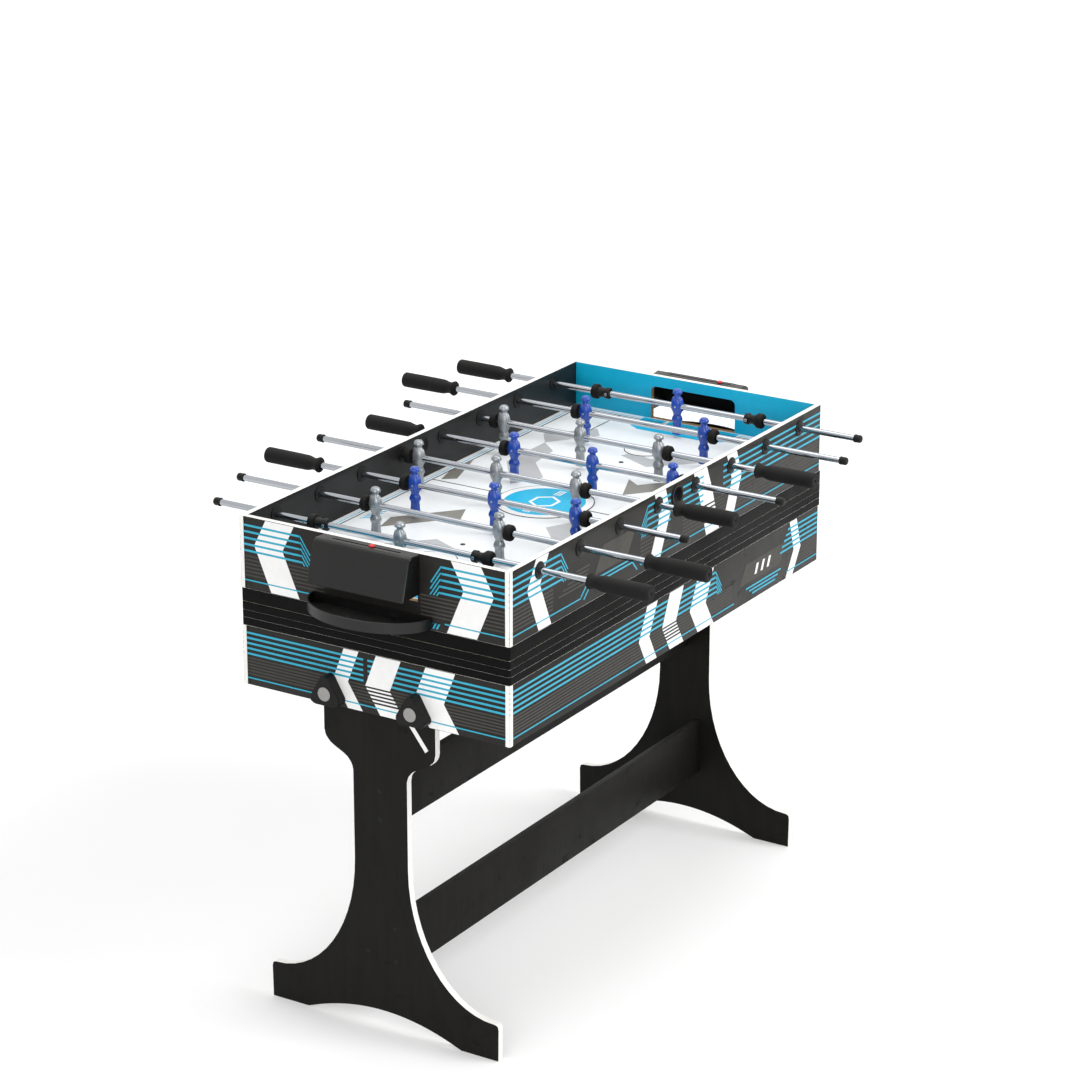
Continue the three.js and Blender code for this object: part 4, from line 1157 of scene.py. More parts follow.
makePockets()
makeCushions()
makeBed()
print("pool table")

# loose boards

boardForm = {"corner": 4, "edge": 0.9, "rail": 20, "rim": 10, "hockeyDepth": 8}


def roundedOutline(x, y, radius, steps=6):
    points = []
    for cx, cy, start in ((x[1] - radius, y[0] + radius, -90), (x[1] - radius, y[1] - radius, 0),
                          (x[0] + radius, y[1] - radius, 90), (x[0] + radius, y[0] + radius, 180)):
        for k in range(steps + 1):
            angle = math.radians(start + 90 * k / steps)
            points.append((cx + radius * math.cos(angle), cy + radius * math.sin(angle)))
    return points


def boardShape(node, cuts):  # a board with rounded corners and cuts given as (x, y, z) limits
    x, y, z = limitsOf(node)
    slab = prismShape(roundedOutline(x, y, boardForm["corner"]), "z", z, boardForm["edge"])
    return cutShape(slab, [blockShape(*cut, 0) for cut in cuts]) if cuts else slab


def hollowUnder(node, height):
    x, y, z = limitsOf(node)
    rail = boardForm["rail"]
    return (x[0] + rail, x[1] - rail), (y[0] + rail, y[1] - rail), (z[0] - 3, z[0] + height)


def boardPaint(node, floor, lip, ground):  # lip and ground on top, pale from below, black round the edge
    x, y, z = limitsOf(node)

    def paint(n, c):
        if n.z > 0.9:
            return lip if c.z > z[1] - 1 else ground
        under = c.z < floor - 2 and abs(c.x) < x[1] - 1.5 and abs(c.y) < y[1] - 1.5
        return "boardBack" if under else "blackEdge"

    return paint


def seatedRod(profile, start, direction, height, segments=24):
    # a turned piece that lies along a direction in the plan, profile as [radius, distance]
    shape = turnedShape(profile, "x", (0, 0), segments)
    angle = math.radians(direction)
    for vert in shape.verts:
        x, y, z = vert.co
        vert.co = (start[0] + x * math.cos(angle) - y * math.sin(angle),
                   start[1] + x * math.sin(angle) + y * math.cos(angle), height + z)
    return shape


penForm = {
    "radius": 5.8, "cap": 58, "length": 172, "barrelRadius": 5.2,
    "pens": (("bluePen", "blueTeam", (-522, 0), -15), ("redPen", "redPlastic", (-544, -66), -12),
             ("blackPen", "blackPlastic", (-530, -108), -13)),
}


def makeWhiteboard():
    x, y, z = limitsOf("whiteboard")
    lip, sheet = 4.5, z[1] - 0.4
    field = (x[0] + lip, x[1] - lip), (y[0] + lip, y[1] - lip), (sheet, z[1] + 3)

    def paint(n, c):
        onField = abs(c.x) < x[1] - lip and abs(c.y) < y[1] - lip
        return "whiteSheet" if abs(n.z) > 0.9 and onField else "blackEdge"

    makePiece(
        "whiteboardPanel", boardShape("whiteboard", [field]), "whiteboard_layer", ("blackEdge", "whiteSheet"),
        ["whiteboard"], paint=paint)
    r, cap, length = penForm["radius"], penForm["cap"], penForm["length"]
    capLine = [
        (0, 0), (r - 1.2, 0), (r - 0.5, 0.6), (r, 3), (r, cap - 3), (r - 0.4, cap - 0.8), (r - 1.2, cap),
        (0, cap)]
    barrel = [
        (0, cap - 2), (4.3, cap - 2), (4.4, cap + 6), (4.9, cap + 16), (5.1, length - 8), (4.9, length - 3),
        (4.2, length - 0.8), (3.2, length), (0, length)]
    for name, ink, start, turn in penForm["pens"]:
        for part, line, rise, look in (
            ("Cap", capLine, r, ink), ("Barrel", barrel, penForm["barrelRadius"], "penWhite")
        ):
            makePiece(
                name + part, seatedRod(line, start, turn, sheet + rise, 36), "whiteboard_layer", look)


batForm = {
    "blade": 132, "width": 122, "handle": 74, "grip": 11.5, "thick": 5.2,
    "bats": (("backBat", (-452, 46), -8), ("frontBat", (-430, -128), 12)),
}


def batOutline(f):
    neck, half = f["handle"] + 8, [(0, f["grip"]), (f["handle"] - 20, f["grip"])]
    half += curvePoints([half[-1], (f["handle"] + 2, f["grip"] + 1), (neck + 12, f["width"] * 0.34)], 8)
    half += curvePoints(
        [
            half[-1], (neck + 32, f["width"] * 0.56), (neck + f["blade"] * 0.62, f["width"] * 0.56),
            (neck + f["blade"], f["width"] * 0.36), (neck + f["blade"], 0)],
        16)
    return half + [(u, -v) for u, v in reversed(half[:-1])]


def makeTennisBoard():
    x, y, z = limitsOf("tennis_board")
    paint = boardPaint("tennis_board", z[1] + 1, "tennisGrey", "tennisGrey")
    makePiece("tennisBoard", boardShape("tennis_board", [hollowUnder("tennis_board", 12)]), "tennis_layer",
              ("blackEdge", "tennisGrey", "boardBack"), ["tennis_board"], paint=paint)
    length, width = x[1] - x[0], y[1] - y[0]
    margin, border, middleLine = 3, 9, 3.2
    inset = margin + border
    lines = [
        bar(margin, length - margin, v, border) for v in (margin + border / 2, width - margin - border / 2)]
    lines += [bar(u, u + border, width / 2, width - 2 * inset) for u in (margin, length - inset)]
    lines.append(bar(inset, length - inset, width / 2, middleLine))
    printFlat("tennisCourtPrint", "tennis_layer", (x[0], y[0], z[1]), (length, width),
              [("whiteInk", 1, line) for line in lines])
    for name, (px, py), turn in batForm["bats"]:
        c, r = math.cos(math.radians(turn)), math.sin(math.radians(turn))
        points = [(px + u * c - v * r, py + u * r + v * c) for u, v in batOutline(batForm)]
        bat = prismShape(points, "z", (z[1] + 0.15, z[1] + batForm["thick"]), 1.1)
        makePiece(name, bat, "tennis_layer", "blackPlastic")


makeWhiteboard()
makeTennisBoard()

digitBars = {
    "0": ((0, 0, 3, 1), (0, 4, 3, 5), (0, 1.25, 1, 3.75), (2, 1.25, 3, 3.75)),
    "1": ((0, 0, 3, 1), (1, 1.25, 2, 3.75), (0, 4, 2, 5)),
    "2": ((0, 4, 3, 5), (2, 3.1, 3, 3.9), (0, 2.1, 3, 2.9), (0, 1.1, 1, 1.9), (0, 0, 3, 1)),
    "5": ((0, 4, 3, 5), (0, 3.1, 1, 3.9), (0, 2.1, 3, 2.9), (2, 1.1, 3, 1.9), (0, 0, 3, 1)),
}


def numberItems(text, u, v, height, layer):
    cell = height / 5
    lean, start = 0.22 * cell, u - (len(text) * 3.7 - 0.7) * cell / 2
    items = []
    for i, digit in enumerate(text):
        left = start + i * 3.7 * cell
        for u0, v0, u1, v1 in digitBars[digit]:
            corners = ((u0, v0), (u1, v0), (u1, v1), (u0, v1))
            points = [(left + a * cell + b * lean, v - height / 2 + b * cell) for a, b in corners]
            items.append(("darkInk", layer, points))
    return items


hockeyLines = {
    "rows": 46, "first": 12, "step": 12.6, "thick": 1.5, "share": 0.9, "run": (500, 1300), "gap": (10, 90),
}
# finish, lower left corner, width, height and lean
hockeyBands = (
    ("hockeyDark", 60, 30, 120, 150, 110), ("hockeyDark", 300, 330, 90, 150, -110),
    ("hockeyDark", 760, 40, 110, 130, 100), ("hockeyDark", 1010, 340, 90, 170, -120),
    ("paleLine", 190, 30, 46, 230, 150), ("paleLine", 700, 420, 60, 150, 110),
    ("paleLine", 1000, 60, 50, 160, 110), ("hockeyDark", 60, 470, 150, 90, 60),
    ("hockeyDark", 400, 500, 190, 60, 45)
)


def goalArea(side, s, top, bottom, reach, shoulder, cut):  # a goal's printed area, from the board's end
    return [(side, bottom), (side + s * shoulder, bottom), (side + s * reach, bottom + cut),
            (side + s * reach, top - cut), (side + s * shoulder, top), (side, top)]


def hockeyArt():
    picker = random.Random(7)
    f, items = hockeyLines, []
    for row in range(f["rows"]):
        v, u = f["first"] + f["step"] * row, picker.uniform(-500, 0)
        while u < 1200:
            run = picker.uniform(*f["run"])
            if picker.random() < f["share"]:
                items.append(("paleLine", 3, bar(u, u + run, v, f["thick"])))
            u += run + picker.uniform(*f["gap"])
    items += [(finish, 2, slant(u, v, w, lean, h)) for finish, u, v, w, h, lean in hockeyBands]
    for u in (255, 945):
        for v in (137, 453):
            items += [("boardCyan", 4, hexagon(u, v, 92, 52, 71)), ("whiteInk", 5, hexagon(u, v, 84, 46, 65))]
            items += numberItems("10", u, v, 44, 6)
            for k in range(3):
                items.append(("boardCyan", 4, slant(u + 60 + 9 * k, v - 84, 4, 7, 18)))
                items.append(("boardCyan", 4, slant(u - 86 + 9 * k, v + 66, 4, 7, 18)))
    items += [("redInk", 4, bar(597, 603, v, 196)) for v in (2, 588)]
    for finish, layer, tip, flat, half in (("redInk", 4, 196, 98, 200), ("whiteInk", 5, 189, 94, 194),
                                           ("boardCyan", 6, 110, 56, 128), ("whiteInk", 7, 48, 26, 42)):
        items.append((finish, layer, hexagon(600, 295, tip, flat, half)))
    for text, v, height, layer in (("100", 295, 28, 8), ("25", 133, 44, 6), ("25", 457, 44, 6)):
        items += numberItems(text, 600, v, height, layer)
    for side, s in ((0, 1), (1200, -1)):
        items.append(("boardCyan", 4, goalArea(side, s, 425, 165, 112, 62, 50)))
        items.append(("whiteInk", 5, goalArea(side, s, 418, 172, 105, 59, 46)))
        for v, rise in ((20, 46), (570, -46)):
            items.append(("boardCyan", 4, slant(side + s * 28, v, s * 22, s * 34, rise)))
    return items


goalForm = {
    "wall": 9, "corner": 16, "edge": 1.4, "ribs": 5, "ribStart": 12, "ribStep": 10, "ribWidth": 1.6,
    "ribMargin": 22, "ribGap": 24, "boss": 17, "pin": 3, "pinAt": 30,
}


def makeHockeyBoard():
    x, y, z = limitsOf("hockey_board")
    rim, floor = boardForm["rim"], z[1] - boardForm["hockeyDepth"]
    recess = (x[0] + rim, x[1] - rim), (y[0] + rim, y[1] - rim), (floor, z[1] + 3)
    makePiece(
        "hockeyBoard", boardShape("hockey_board", [hollowUnder("hockey_board", 6), recess]), "hockey_layer",
        ("blackEdge", "creamEdge", "hockeyGrey", "boardBack"), ["hockey_board"],
        paint=boardPaint("hockey_board", floor, "creamEdge", "hockeyGrey"))
    size = (x[1] - x[0] - 2 * rim, y[1] - y[0] - 2 * rim)
    printFlat(
        "hockeyPrint", "hockey_layer", (x[0] + rim, y[0] + rim, floor), size, hockeyArt(),
        0.4)
    for end, side in ends:
        makeHockeyGoal(end, -side)


def makeHockeyGoal(end, toward):  # its mouth looks toward the middle of the board
    f, node = goalForm, end + "_hockey_goal"
    x, y, z = limitsOf(node)
    back, front = x if toward > 0 else x[::-1]
    outline = softCorners([(front, y[0]), (back, y[0]), (back, y[1]), (front, y[1])], f["corner"], steps=8)
    shell = prismShape(outline, "z", (z[0], z[1] - 0.5), f["edge"], 3)
    mouth = sorted((back + toward * f["wall"], front + toward * 3))
    shape = cutShape(
        shell, [blockShape(mouth, (y[0] + f["wall"], y[1] - f["wall"]), (z[0] - 2, z[1] - 2.5), 0)])
    for i in range(f["ribs"]):
        u = back + toward * (f["ribStart"] + f["ribStep"] * i)
        for across in ((y[0] + f["ribMargin"], -f["ribGap"]), (f["ribGap"], y[1] - f["ribMargin"])):
            addShape(
                shape,
                blockShape(sorted((u, u + toward * f["ribWidth"])), across, (z[1] - 0.8, z[1]), 0.25, 1))
    makePiece(end + "HockeyGoal", shape, "hockey_layer", "redPlastic", [node])
    boss = [(0, -0.8), (f["boss"], -0.8), (f["boss"], -0.1), (f["boss"] - 1, 0.2), (0, 0.2)]
    boss = turnedShape([(r, z[1] + h) for r, h in boss], "z", ((x[0] + x[1]) / 2, 0), 40)
    makePiece(end + "HockeyGoalBoss", boss, "hockey_layer", "blackPlastic")
    pins = bmesh.new()
    for py in (y[0] - 0.1, y[1] + 0.1):
        spot = (back + toward * f["pinAt"], z[0] + 5)
        addShape(pins, pegShape(f["pin"], (py - 1.2, py + 1.2), "y", spot, 20))
    makePiece(end + "HockeyGoalPins", pins, "hockey_layer", "blackPlastic")


def courtArt():
    picker = random.Random(23)
    items = [("whiteInk", 1, [(1, 1), (455, 1), (455, 589), (1, 589)])]
    for base in (0, 300):
        for k in range(9):
            finish, layer = (("boardCyan", 3), ("paleGreyInk", 2))[k % 2]
            y0, phase = base + 12 + k * 31, picker.choice((0, 1))
            points = [(-60 + 38 * i, y0 + (26 if (i // 2 + phase) % 2 else 0)) for i in range(16)]
            for quad in ribbon(points, 15 + 4 * phase):
                if picker.random() < 0.86:
                    items.append((finish, layer, [(u, min(max(v, base), base + 290)) for u, v in quad]))
    for u, v in ((190, 500), (214, 68)):
        items += [("darkInk", 4, pill(u, v, 236, 50)), ("redInk", 5, pill(u, v, 230, 44))]
        items += [
            ("whiteInk", 6, bar(u - 74, u + 74, v + 6, 5)), ("whiteInk", 6, bar(u - 50, u + 50, v - 8, 4))]
    return items


def pill(u, v, length, height):
    r, quarter = height / 2, math.pi / 2
    reach = length / 2 - r
    return disc(u + reach, v, r, -quarter, quarter, 14) + disc(u - reach, v, r, quarter, 3 * quarter, 14)


def laneArt():
    items = []
    for v, outer in ((140, 150), (450, 138)):
        rings = (("boardCyan", outer), ("whiteInk", 105), ("redInk", 62))
        items += [(finish, layer + 1, disc(162, v, radius)) for layer, (finish, radius) in enumerate(rings)]
    for u, v, run in (
        (320, 130, 110), (430, 205, 70), (520, 168, 150), (600, 300, 96), (330, 390, 130), (500, 470, 160)
    ):
        items += [("boardCyan", 4, bar(u + 7 * k, u + run + 7 * k, v + 8 * k, 2.6)) for k in range(5)]
    for u, v, run in ((300, 60, 130), (470, 40, 90), (610, 80, 90), (600, 560, 110)):
        items.append(("boardCyan", 4, bar(u, u + run, v, 2.6)))
    items += [("redInk", 4, bar(u, u + 2.6, 295, 586)) for u in (360, 540)]
    items.append(("darkInk", 1, [(420, 2), (700, 2), (734, 120), (560, 120)]))
    return items + [("darkInk", 1, [(380, 588), (640, 588), (560, 430), (420, 430)])]


slingForm = {
    "crossWall": -140, "divider": 9, "depth": 19, "gate": 36, "gateHeight": 13, "cord": 1.3, "cordRise": 6.5,
    "cords": (("back", 240), ("front", -264)),
}
lanePieces = {  # where each row starts, and its step
    "pucks": (("back", -479, 88), ("front", -472, -155)), "puckCount": 5, "puckStep": 39,
    "pins": (-8, -178), "pinRows": 4, "pinRowStep": 22.5, "pinStep": 25.5, "pinRise": 0.75,
    "stones": (("redStones", "redPlastic", (330, -170)), ("blueStones", "blueTeam", (356, -150))),
    "stoneCount": 4, "stoneStep": (9.5, 24, 0),
}
# outlines as [radius, height over the lane]
puckForm = [
    (0, 0.6), (14, 0.6), (15, 0.75), (17.8, 0.75), (18.8, 1.8), (19, 3), (19, 8.6), (18.6, 9.8), (17.6, 10.4),
    (14.6, 10.5), (14, 9.9), (0, 9.9)
]
pinForm = [
    (0, 0), (7.4, 0), (8.4, 0.8), (10.4, 8), (12, 17), (11.5, 25), (8.2, 33), (5.9, 39), (5.5, 42), (6.6, 47),
    (7, 51), (5.9, 55.4), (3.4, 57.8), (0, 58.6)
]
bandForm = [(0, 38.4), (6.5, 38.4), (6.55, 39.4), (6.3, 41), (6.3, 42.4), (0, 42.4)]
stoneForm = [(0, 0.8), (6.5, 0.8), (9.6, 2.6), (11, 6.2), (10.6, 10.6), (8.4, 13.8), (5.6, 15.2), (5.6, 16.4),
             (5.0, 17.2), (0, 17.4)]
stoneTop = [(0, 17), (4.6, 17), (4.8, 18.6), (3.9, 20.6), (2.2, 21.4), (0, 21.5)]


def makeSlingBoard():
    x, y, z = limitsOf("sling_board")
    rim, half = boardForm["rim"], slingForm["divider"] / 2
    floor, over = z[1] - slingForm["depth"], z[1] + 3
    courts, lane = (x[0] + rim, slingForm["crossWall"] - half), (slingForm["crossWall"] + half, x[1] - rim)
    across = (y[0] + rim, y[1] - rim)
    recesses = [hollowUnder("sling_board", 5), (courts, across, (floor, over)), (lane, across, (floor, over))]
    makePiece("slingBoard", boardShape("sling_board", recesses), "sling_layer",
              ("blackEdge", "whiteEdge", "laneGrey", "boardBack"), ["sling_board"],
              paint=boardPaint("sling_board", floor, "whiteEdge", "laneGrey"))
    for name, part, art in (("courtPrint", courts, courtArt()), ("lanePrint", lane, laneArt())):
        size = (part[1] - part[0], across[1] - across[0])
        printFlat(name, "sling_layer", (part[0], across[0], floor), size, art, 0.3)
    dx, dy, dz = limitsOf("sling_divider")
    left, right = [(dx[0] + dx[1]) / 2 + s * slingForm["gate"] for s in (-1, 1)]
    low, high = dz[0] - 2, floor + slingForm["gateHeight"]
    gate = softCorners([(left, low), (left, high), (right, high), (right, low)], 5, steps=5)
    divider = cutShape(blockShape(dx, dy, dz, 0.6), [prismShape(gate, "y", (dy[0] - 2, dy[1] + 2))])
    makePiece(
        "slingDivider", divider, "sling_layer", ("blackEdge", "whiteEdge"),
        ["sling_divider"], paint=lambda n, c: "whiteEdge" if n.z > 0.9 and c.z > dz[1] - 1 else "blackEdge")
    makeCords(courts, floor + slingForm["cordRise"])
    makeLanePieces(floor)


def makeCords(courts, height):  # elastic cords across both courts, with the eyelets that hold them
    r = slingForm["cord"]
    eyelet = [(0, -0.3), (4.6, -0.3), (4.6, 0.8), (3.6, 1.5), (r, 1.5), (0, 1.5)]
    for name, y in slingForm["cords"]:
        makePiece(
            name + "ElasticCord", pegShape(r, courts, "x", (y, height), 16), "sling_layer", "rubber")
        eyelets = bmesh.new()
        for wall, s in zip(courts, (1, -1)):
            addShape(eyelets, turnedShape([(a, wall + s * b) for a, b in eyelet], "x", (y, height), 24))
        makePiece(name + "CordEyelets", eyelets, "sling_layer", "blackPlastic")


def makeLanePieces(floor):
    f, puck = lanePieces, [(r, floor + h) for r, h in puckForm]
    for name, x, y in f["pucks"]:
        row = rowShape(turnedShape(puck, "z", (0, 0), 40), f["puckCount"], (x, y, 0), (f["puckStep"], 0, 0))
        makePiece(name + "Pucks", row, "sling_layer", "blackPlastic")
    (x, y), rise = f["pins"], floor + f["pinRise"]
    for name, form, finish, smooth in (("bowlingPins", softCorners(pinForm, 3.0, steps=2), "pinCream", 60),
                                       ("pinBands", bandForm, "redInk", 32)):
        shape = bmesh.new()
        for row in range(f["pinRows"]):
            for i in range(row + 1):
                spot = (x + row * f["pinRowStep"], y + (i - row / 2) * f["pinStep"])
                addShape(shape, turnedShape([(r, h + rise) for r, h in form], "z", spot, 28))
        makePiece(name, shape, "sling_layer", finish, smooth=smooth)
    body = softCorners(stoneForm, 1.4, steps=2)
    for name, finish, (x, y) in f["stones"]:
        for part, form, look, count in (("", body, finish, 32), ("Tops", stoneTop, "penWhite", 24)):
            stone = turnedShape(form, "z", (0, 0), count)
            row = rowShape(stone, f["stoneCount"], (x, y, floor), f["stoneStep"])
            makePiece(name + part, row, "sling_layer", look, smooth=45)


makeHockeyBoard()
makeSlingBoard()
print("loose boards")


# balls and cues on the pool bed

ballForm = {
    "radius": 19, "rise": 0.2, "rack": (-418, 4), "rows": 4, "rowStep": 33.2, "step": 38.2,
    "loose": (("blackBall", -500, -53), ("greenBall", 342, -78), ("blueBall", -128, 128)),
}
cueForm = {
    "length": 1000, "buttShare": 0.45, "fat": 12.0, "mid": 8.2, "slim": 4.7, "rise": 0.3,
    "cues": (  # place and direction from the thick end, finish of the butt and of the shaft
        ("frontCue", (-508, -205), 7.0, "cueGrey", "maple"),
        ("backCue", (-538, 203), -2.2, "blackPlastic", "cueGrey")),
}


def makeBalls():
    f, radius = ballForm, ballForm["radius"]
    (x, y), height = f["rack"], bedTop + f["rise"] + radius
    reds = bmesh.new()
    for row in range(f["rows"]):
        for i in range(f["rows"] - row):
            spot = (x + row * f["rowStep"], y - (i + row / 2) * f["step"], height)
            addShape(reds, ballShape(spot, radius, 36, 20))
    makePiece("redBalls", reds, "pool_cabinet", "redBall", smooth=60)
    for name, x, y in f["loose"]:
        ball = ballShape((x, y, height), radius, 40, 24)
        makePiece(name, ball, "pool_cabinet", name, smooth=60)


def makeCues():
    length, fat, mid, slim = (cueForm[key] for key in ("length", "fat", "mid", "slim"))
    butt = cueForm["buttShare"] * length
    buttLine = [
        (0, 0), (fat - 2.4, 0), (fat - 0.6, 1.4), (fat, 6), (fat, 40), (mid + 1.0, butt - 6),
        (mid + 0.2, butt), (0, butt)]
    shaftLine = [(0, butt - 3), (mid, butt - 3), (mid, butt + 4), (slim + 0.2, length - 26), (0, length - 26)]
    ferrule = [
        (0, length - 27), (slim + 0.25, length - 27), (slim + 0.2, length - 7), (slim - 0.3, length - 7),
        (slim - 0.3, length - 3), (slim - 1.6, length - 0.8), (0, length)]
    for name, start, turn, dark, shaft in cueForm["cues"]:
        ahead = math.cos(math.radians(turn)), math.sin(math.radians(turn))
        for part, line, finish in (
            ("Butt", buttLine, dark), ("Shaft", shaftLine, shaft), ("Ferrule", ferrule, "penWhite")
        ):
            shape = seatedRod(line, start, turn, 0, 36)
            for vert in shape.verts:  # the thick end lifts the cue, so it slopes down to its tip
                along = (vert.co.x - start[0]) * ahead[0] + (vert.co.y - start[1]) * ahead[1]
                vert.co.z += bedTop + cueForm["rise"] + fat - (fat - slim) / length * along
            makePiece(name + part, shape, "pool_cabinet", finish, smooth=60)


makeBalls()
makeCues()
print("balls and cues")

# football box

boxForm = {
    "inside": 293, "rodHeight": 986.5, "firstRod": -507.5, "rodPitch": 145, "bore": 12.5, "port": 18,
    "fieldTop": 916.5, "mouthHalf": 103, "mouthCorner": 14, "mouthDrop": 24,
}
rodSpots = [boxForm["firstRod"] + boxForm["rodPitch"] * k for k in range(8)]
# outlines as [radius, distance from the middle of the box]
bushForm = [
    (6.75, 309), (9.0, 309), (9.8, 308.4), (10.4, 307.5), (15.9, 307.2), (16.8, 306.6), (17, 305.8),
    (17, 305.05), (12.4, 305.05), (12.4, 292.95), (17, 292.95), (17, 291.9), (16.4, 291.2), (10.6, 290.9),
    (10, 290.2), (6.75, 290.1)
]
portForm = [
    (16, 291.6), (20, 291.6), (21, 292.3), (21, 292.95), (17.9, 292.95), (17.9, 305.05), (21, 305.05),
    (21, 306.6), (20.2, 307.8), (18.4, 308), (16.6, 307.2), (16, 305.8)
]


def makeLongWall(side, s, base, top):
    axis, looks = boxForm["rodHeight"], ("blackLaminate", "whiteEdge", "insideBlack")
    inner, outer = s * boxForm["inside"], s * table["halfWidth"]
    through = (inner - s * 5, outer + s * 5)
    holes = [pegShape(boxForm["bore"], through, "y", (x, axis), 32) for x in rodSpots]
    holes.append(pegShape(boxForm["port"], through, "y", (0, axis), 40))
    length = (-table["halfLength"], table["halfLength"])
    wall = cutShape(blockShape(length, sorted((inner, outer)), (base, top), 0.8), holes)
    makePiece(
        side + "Wall", wall, "football_box", looks, [side + "_wall"],
        paint=sidePaint(1, table["halfWidth"] - 1))
    dressSide("box", side, "football_box", base, top - base, boxSideArt)
    bushes = bmesh.new()
    for x in rodSpots:
        addShape(bushes, turnedShape([(r, s * y) for r, y in bushForm], "y", (x, axis), 40))
    makePiece(side + "WallBushes", bushes, "football_box", "blackPlastic", smooth=35)
    port = turnedShape([(r, s * y) for r, y in portForm], "y", (0, axis), 48)
    makePiece(side + "ServingPort", port, "football_box", "blackPlastic", smooth=35)


def makeEndWall(end, s, base, top):
    node = end + "_end_wall"
    half, corner, floor = boxForm["mouthHalf"], boxForm["mouthCorner"], boxForm["fieldTop"]
    high, x = top - boxForm["mouthDrop"], s * table["halfLength"]
    outline = [(-half, floor), (half, floor), (half, high - corner)]
    outline += curvePoints([(half, high - corner), (half, high), (half - corner, high)], 8)
    outline.append((corner - half, high))
    outline += curvePoints([(corner - half, high), (-half, high), (-half, high - corner)], 8)
    wall = cutShape(blockShape(*limitsOf(node), 0.8), [prismShape(outline, "x", (x - s * 20, x + s * 10))])

    def paint(n, c):
        if n.z > 0.4 and c.z > top - 1.5:
            return "whiteEdge"
        if n.x * s < -0.7:
            return "insideCyan"
        # the board shows raw in the goal's mouth
        cut = n.x * s <= 0.7 and c.z >= base + 1 and abs(c.y) < half + 1
        return "rawBoard" if cut else "blackLaminate"

    looks = ("blackLaminate", "whiteEdge", "insideCyan", "rawBoard")
    makePiece(end + "EndWall", wall, "football_box", looks, [node], paint=paint)
    dressSide("box", end, "football_box", base, top - base, boxEndArt)


def makeBoxWalls():
    base, top = limitsOf("near_end_wall")[2]
    for side, s in (("front", -1), ("back", 1)):
        makeLongWall(side, s, base, top)
    for end, s in ends:
        makeEndWall(end, s, base, top)
    cornerStrips("boxCornerStrips", "football_box", base, top - base)


fieldShapes = (  # the grey angular shapes of one half, from the middle of the field
    ("paleGreyInk", [(60, 120), (180, 205), (330, 205), (290, 160), (205, 150), (130, 84)]),
    ("paleGreyInk", [(330, 205), (430, 130), (470, 160), (380, 240)]),
    ("midGreyInk", [(120, -110), (240, -210), (300, -196), (190, -104), (214, -70)]),
    ("paleGreyInk", [(300, -60), (392, -150), (420, -122), (350, -40), (372, 10), (340, 24)]),
    ("midGreyInk", [(30, 230), (150, 268), (70, 272), (10, 256)]),
)


def fieldArt():
    length, width = 1195.4, 585.4
    mu, mv = length / 2, width / 2
    items = []

    def frameLine(u0, u1, v0, v1, thick, finish):
        for v in (v0, v1):
            items.append((finish, 5, bar(u0 - thick / 2, u1 + thick / 2, v, thick)))
        for u in (u0, u1):
            items.append((finish, 5, bar(u - thick / 2, u + thick / 2, (v0 + v1) / 2, v1 - v0 + thick)))

    for s in (-1, 1):
        goal = [
            (
                "boardCyan", 2,
                [(593.7, -116), (531.7, -116), (513.7, -88), (513.7, 88), (531.7, 116), (593.7, 116)]),
            ("whiteInk", 3, [(593.7, -60), (563.7, -60), (563.7, 60), (593.7, 60)]),
            ("boardCyan", 4, [(593.7, -52), (571.7, -52), (571.7, 52), (593.7, 52)])]
        halfField = [(finish, 1, points) for finish, points in fieldShapes]
        halfField += [("boardCyan", 2, slant(214 + 13 * k, -236, 5, 21, -22)) for k in range(4)]
        items += [
            (finish, layer, [(mu + s * u, mv + s * v) for u, v in points])
            for finish, layer, points in halfField + goal]
    frameLine(22, length - 22, 22, width - 22, 1.8, "darkInk")
    frameLine(14, length - 14, 14, width - 14, 1.0, "boardCyan")
    frameLine(22, 196, mv - 168, mv + 168, 1.8, "darkInk")
    frameLine(length - 196, length - 22, mv - 168, mv + 168, 1.8, "darkInk")
    items.append(("darkInk", 5, bar(mu - 0.9, mu + 0.9, mv, width - 44)))
    items += [
        ("darkInk", 6, disc(mu, mv, 101)), ("whiteInk", 7, disc(mu, mv, 99)),
        ("boardCyan", 8, disc(mu, mv, 83)), ("whiteInk", 9, hexagon(mu, mv, 36, 17, 28)),
        ("boardCyan", 10, hexagon(mu, mv, 29, 13.5, 22))]
    for left, right in ((-74, -44), (44, 74)):
        items += [("whiteInk", 9, bar(mu + left, mu + right, mv + k, 3)) for k in (-6, 0, 6)]
    for s in (-1, 1):
        items.append(("darkInk", 6, disc(mu + s * 300, mv, 5)))
        start = s * math.pi / 2  # the arc before the penalty area
        for finish, layer, radius in (("darkInk", 5, 46), ("whiteInk", 6, 44.2)):
            items.append((finish, layer, disc(mu + s * 401, mv, radius, start, start + math.pi, 24)))
    return items


def makeField():
    x, y, z = limitsOf("playing_field")
    makePiece(
        "playingField", blockShape(x, y, z, 0.3, 1), "football_box", ("field", "boardBack"),
        ["playing_field"], paint=lambda n, c: "field" if n.z > 0.5 else "boardBack")
    size = (x[1] - x[0], y[1] - y[0])
    printFlat("fieldPrint", "football_box", (x[0], y[0], z[1]), size, fieldArt(), 0.5)


hoodForm = {
    "top": 1012.5, "bottom": 931.5, "half": 108.5, "topReach": 31, "reach": 58, "wall": 2.5,
    "slotAt": 15, "slotSide": 2, "slotHalf": 77, "frame": 11.4, "frameHalf": 82, "tick": 7,
}
trayForm = {"reach": 88, "half": 136, "wall": 3.4, "floor": 2.5}
beadForm = [(0, 0.35), (4.6, 0.35), (5.4, 1.0), (5.5, 2.0), (5.1, 3.4), (3.6, 4.3), (0, 4.5)]
beadSpots = (-12, -50)  # where each bead stands along its slot


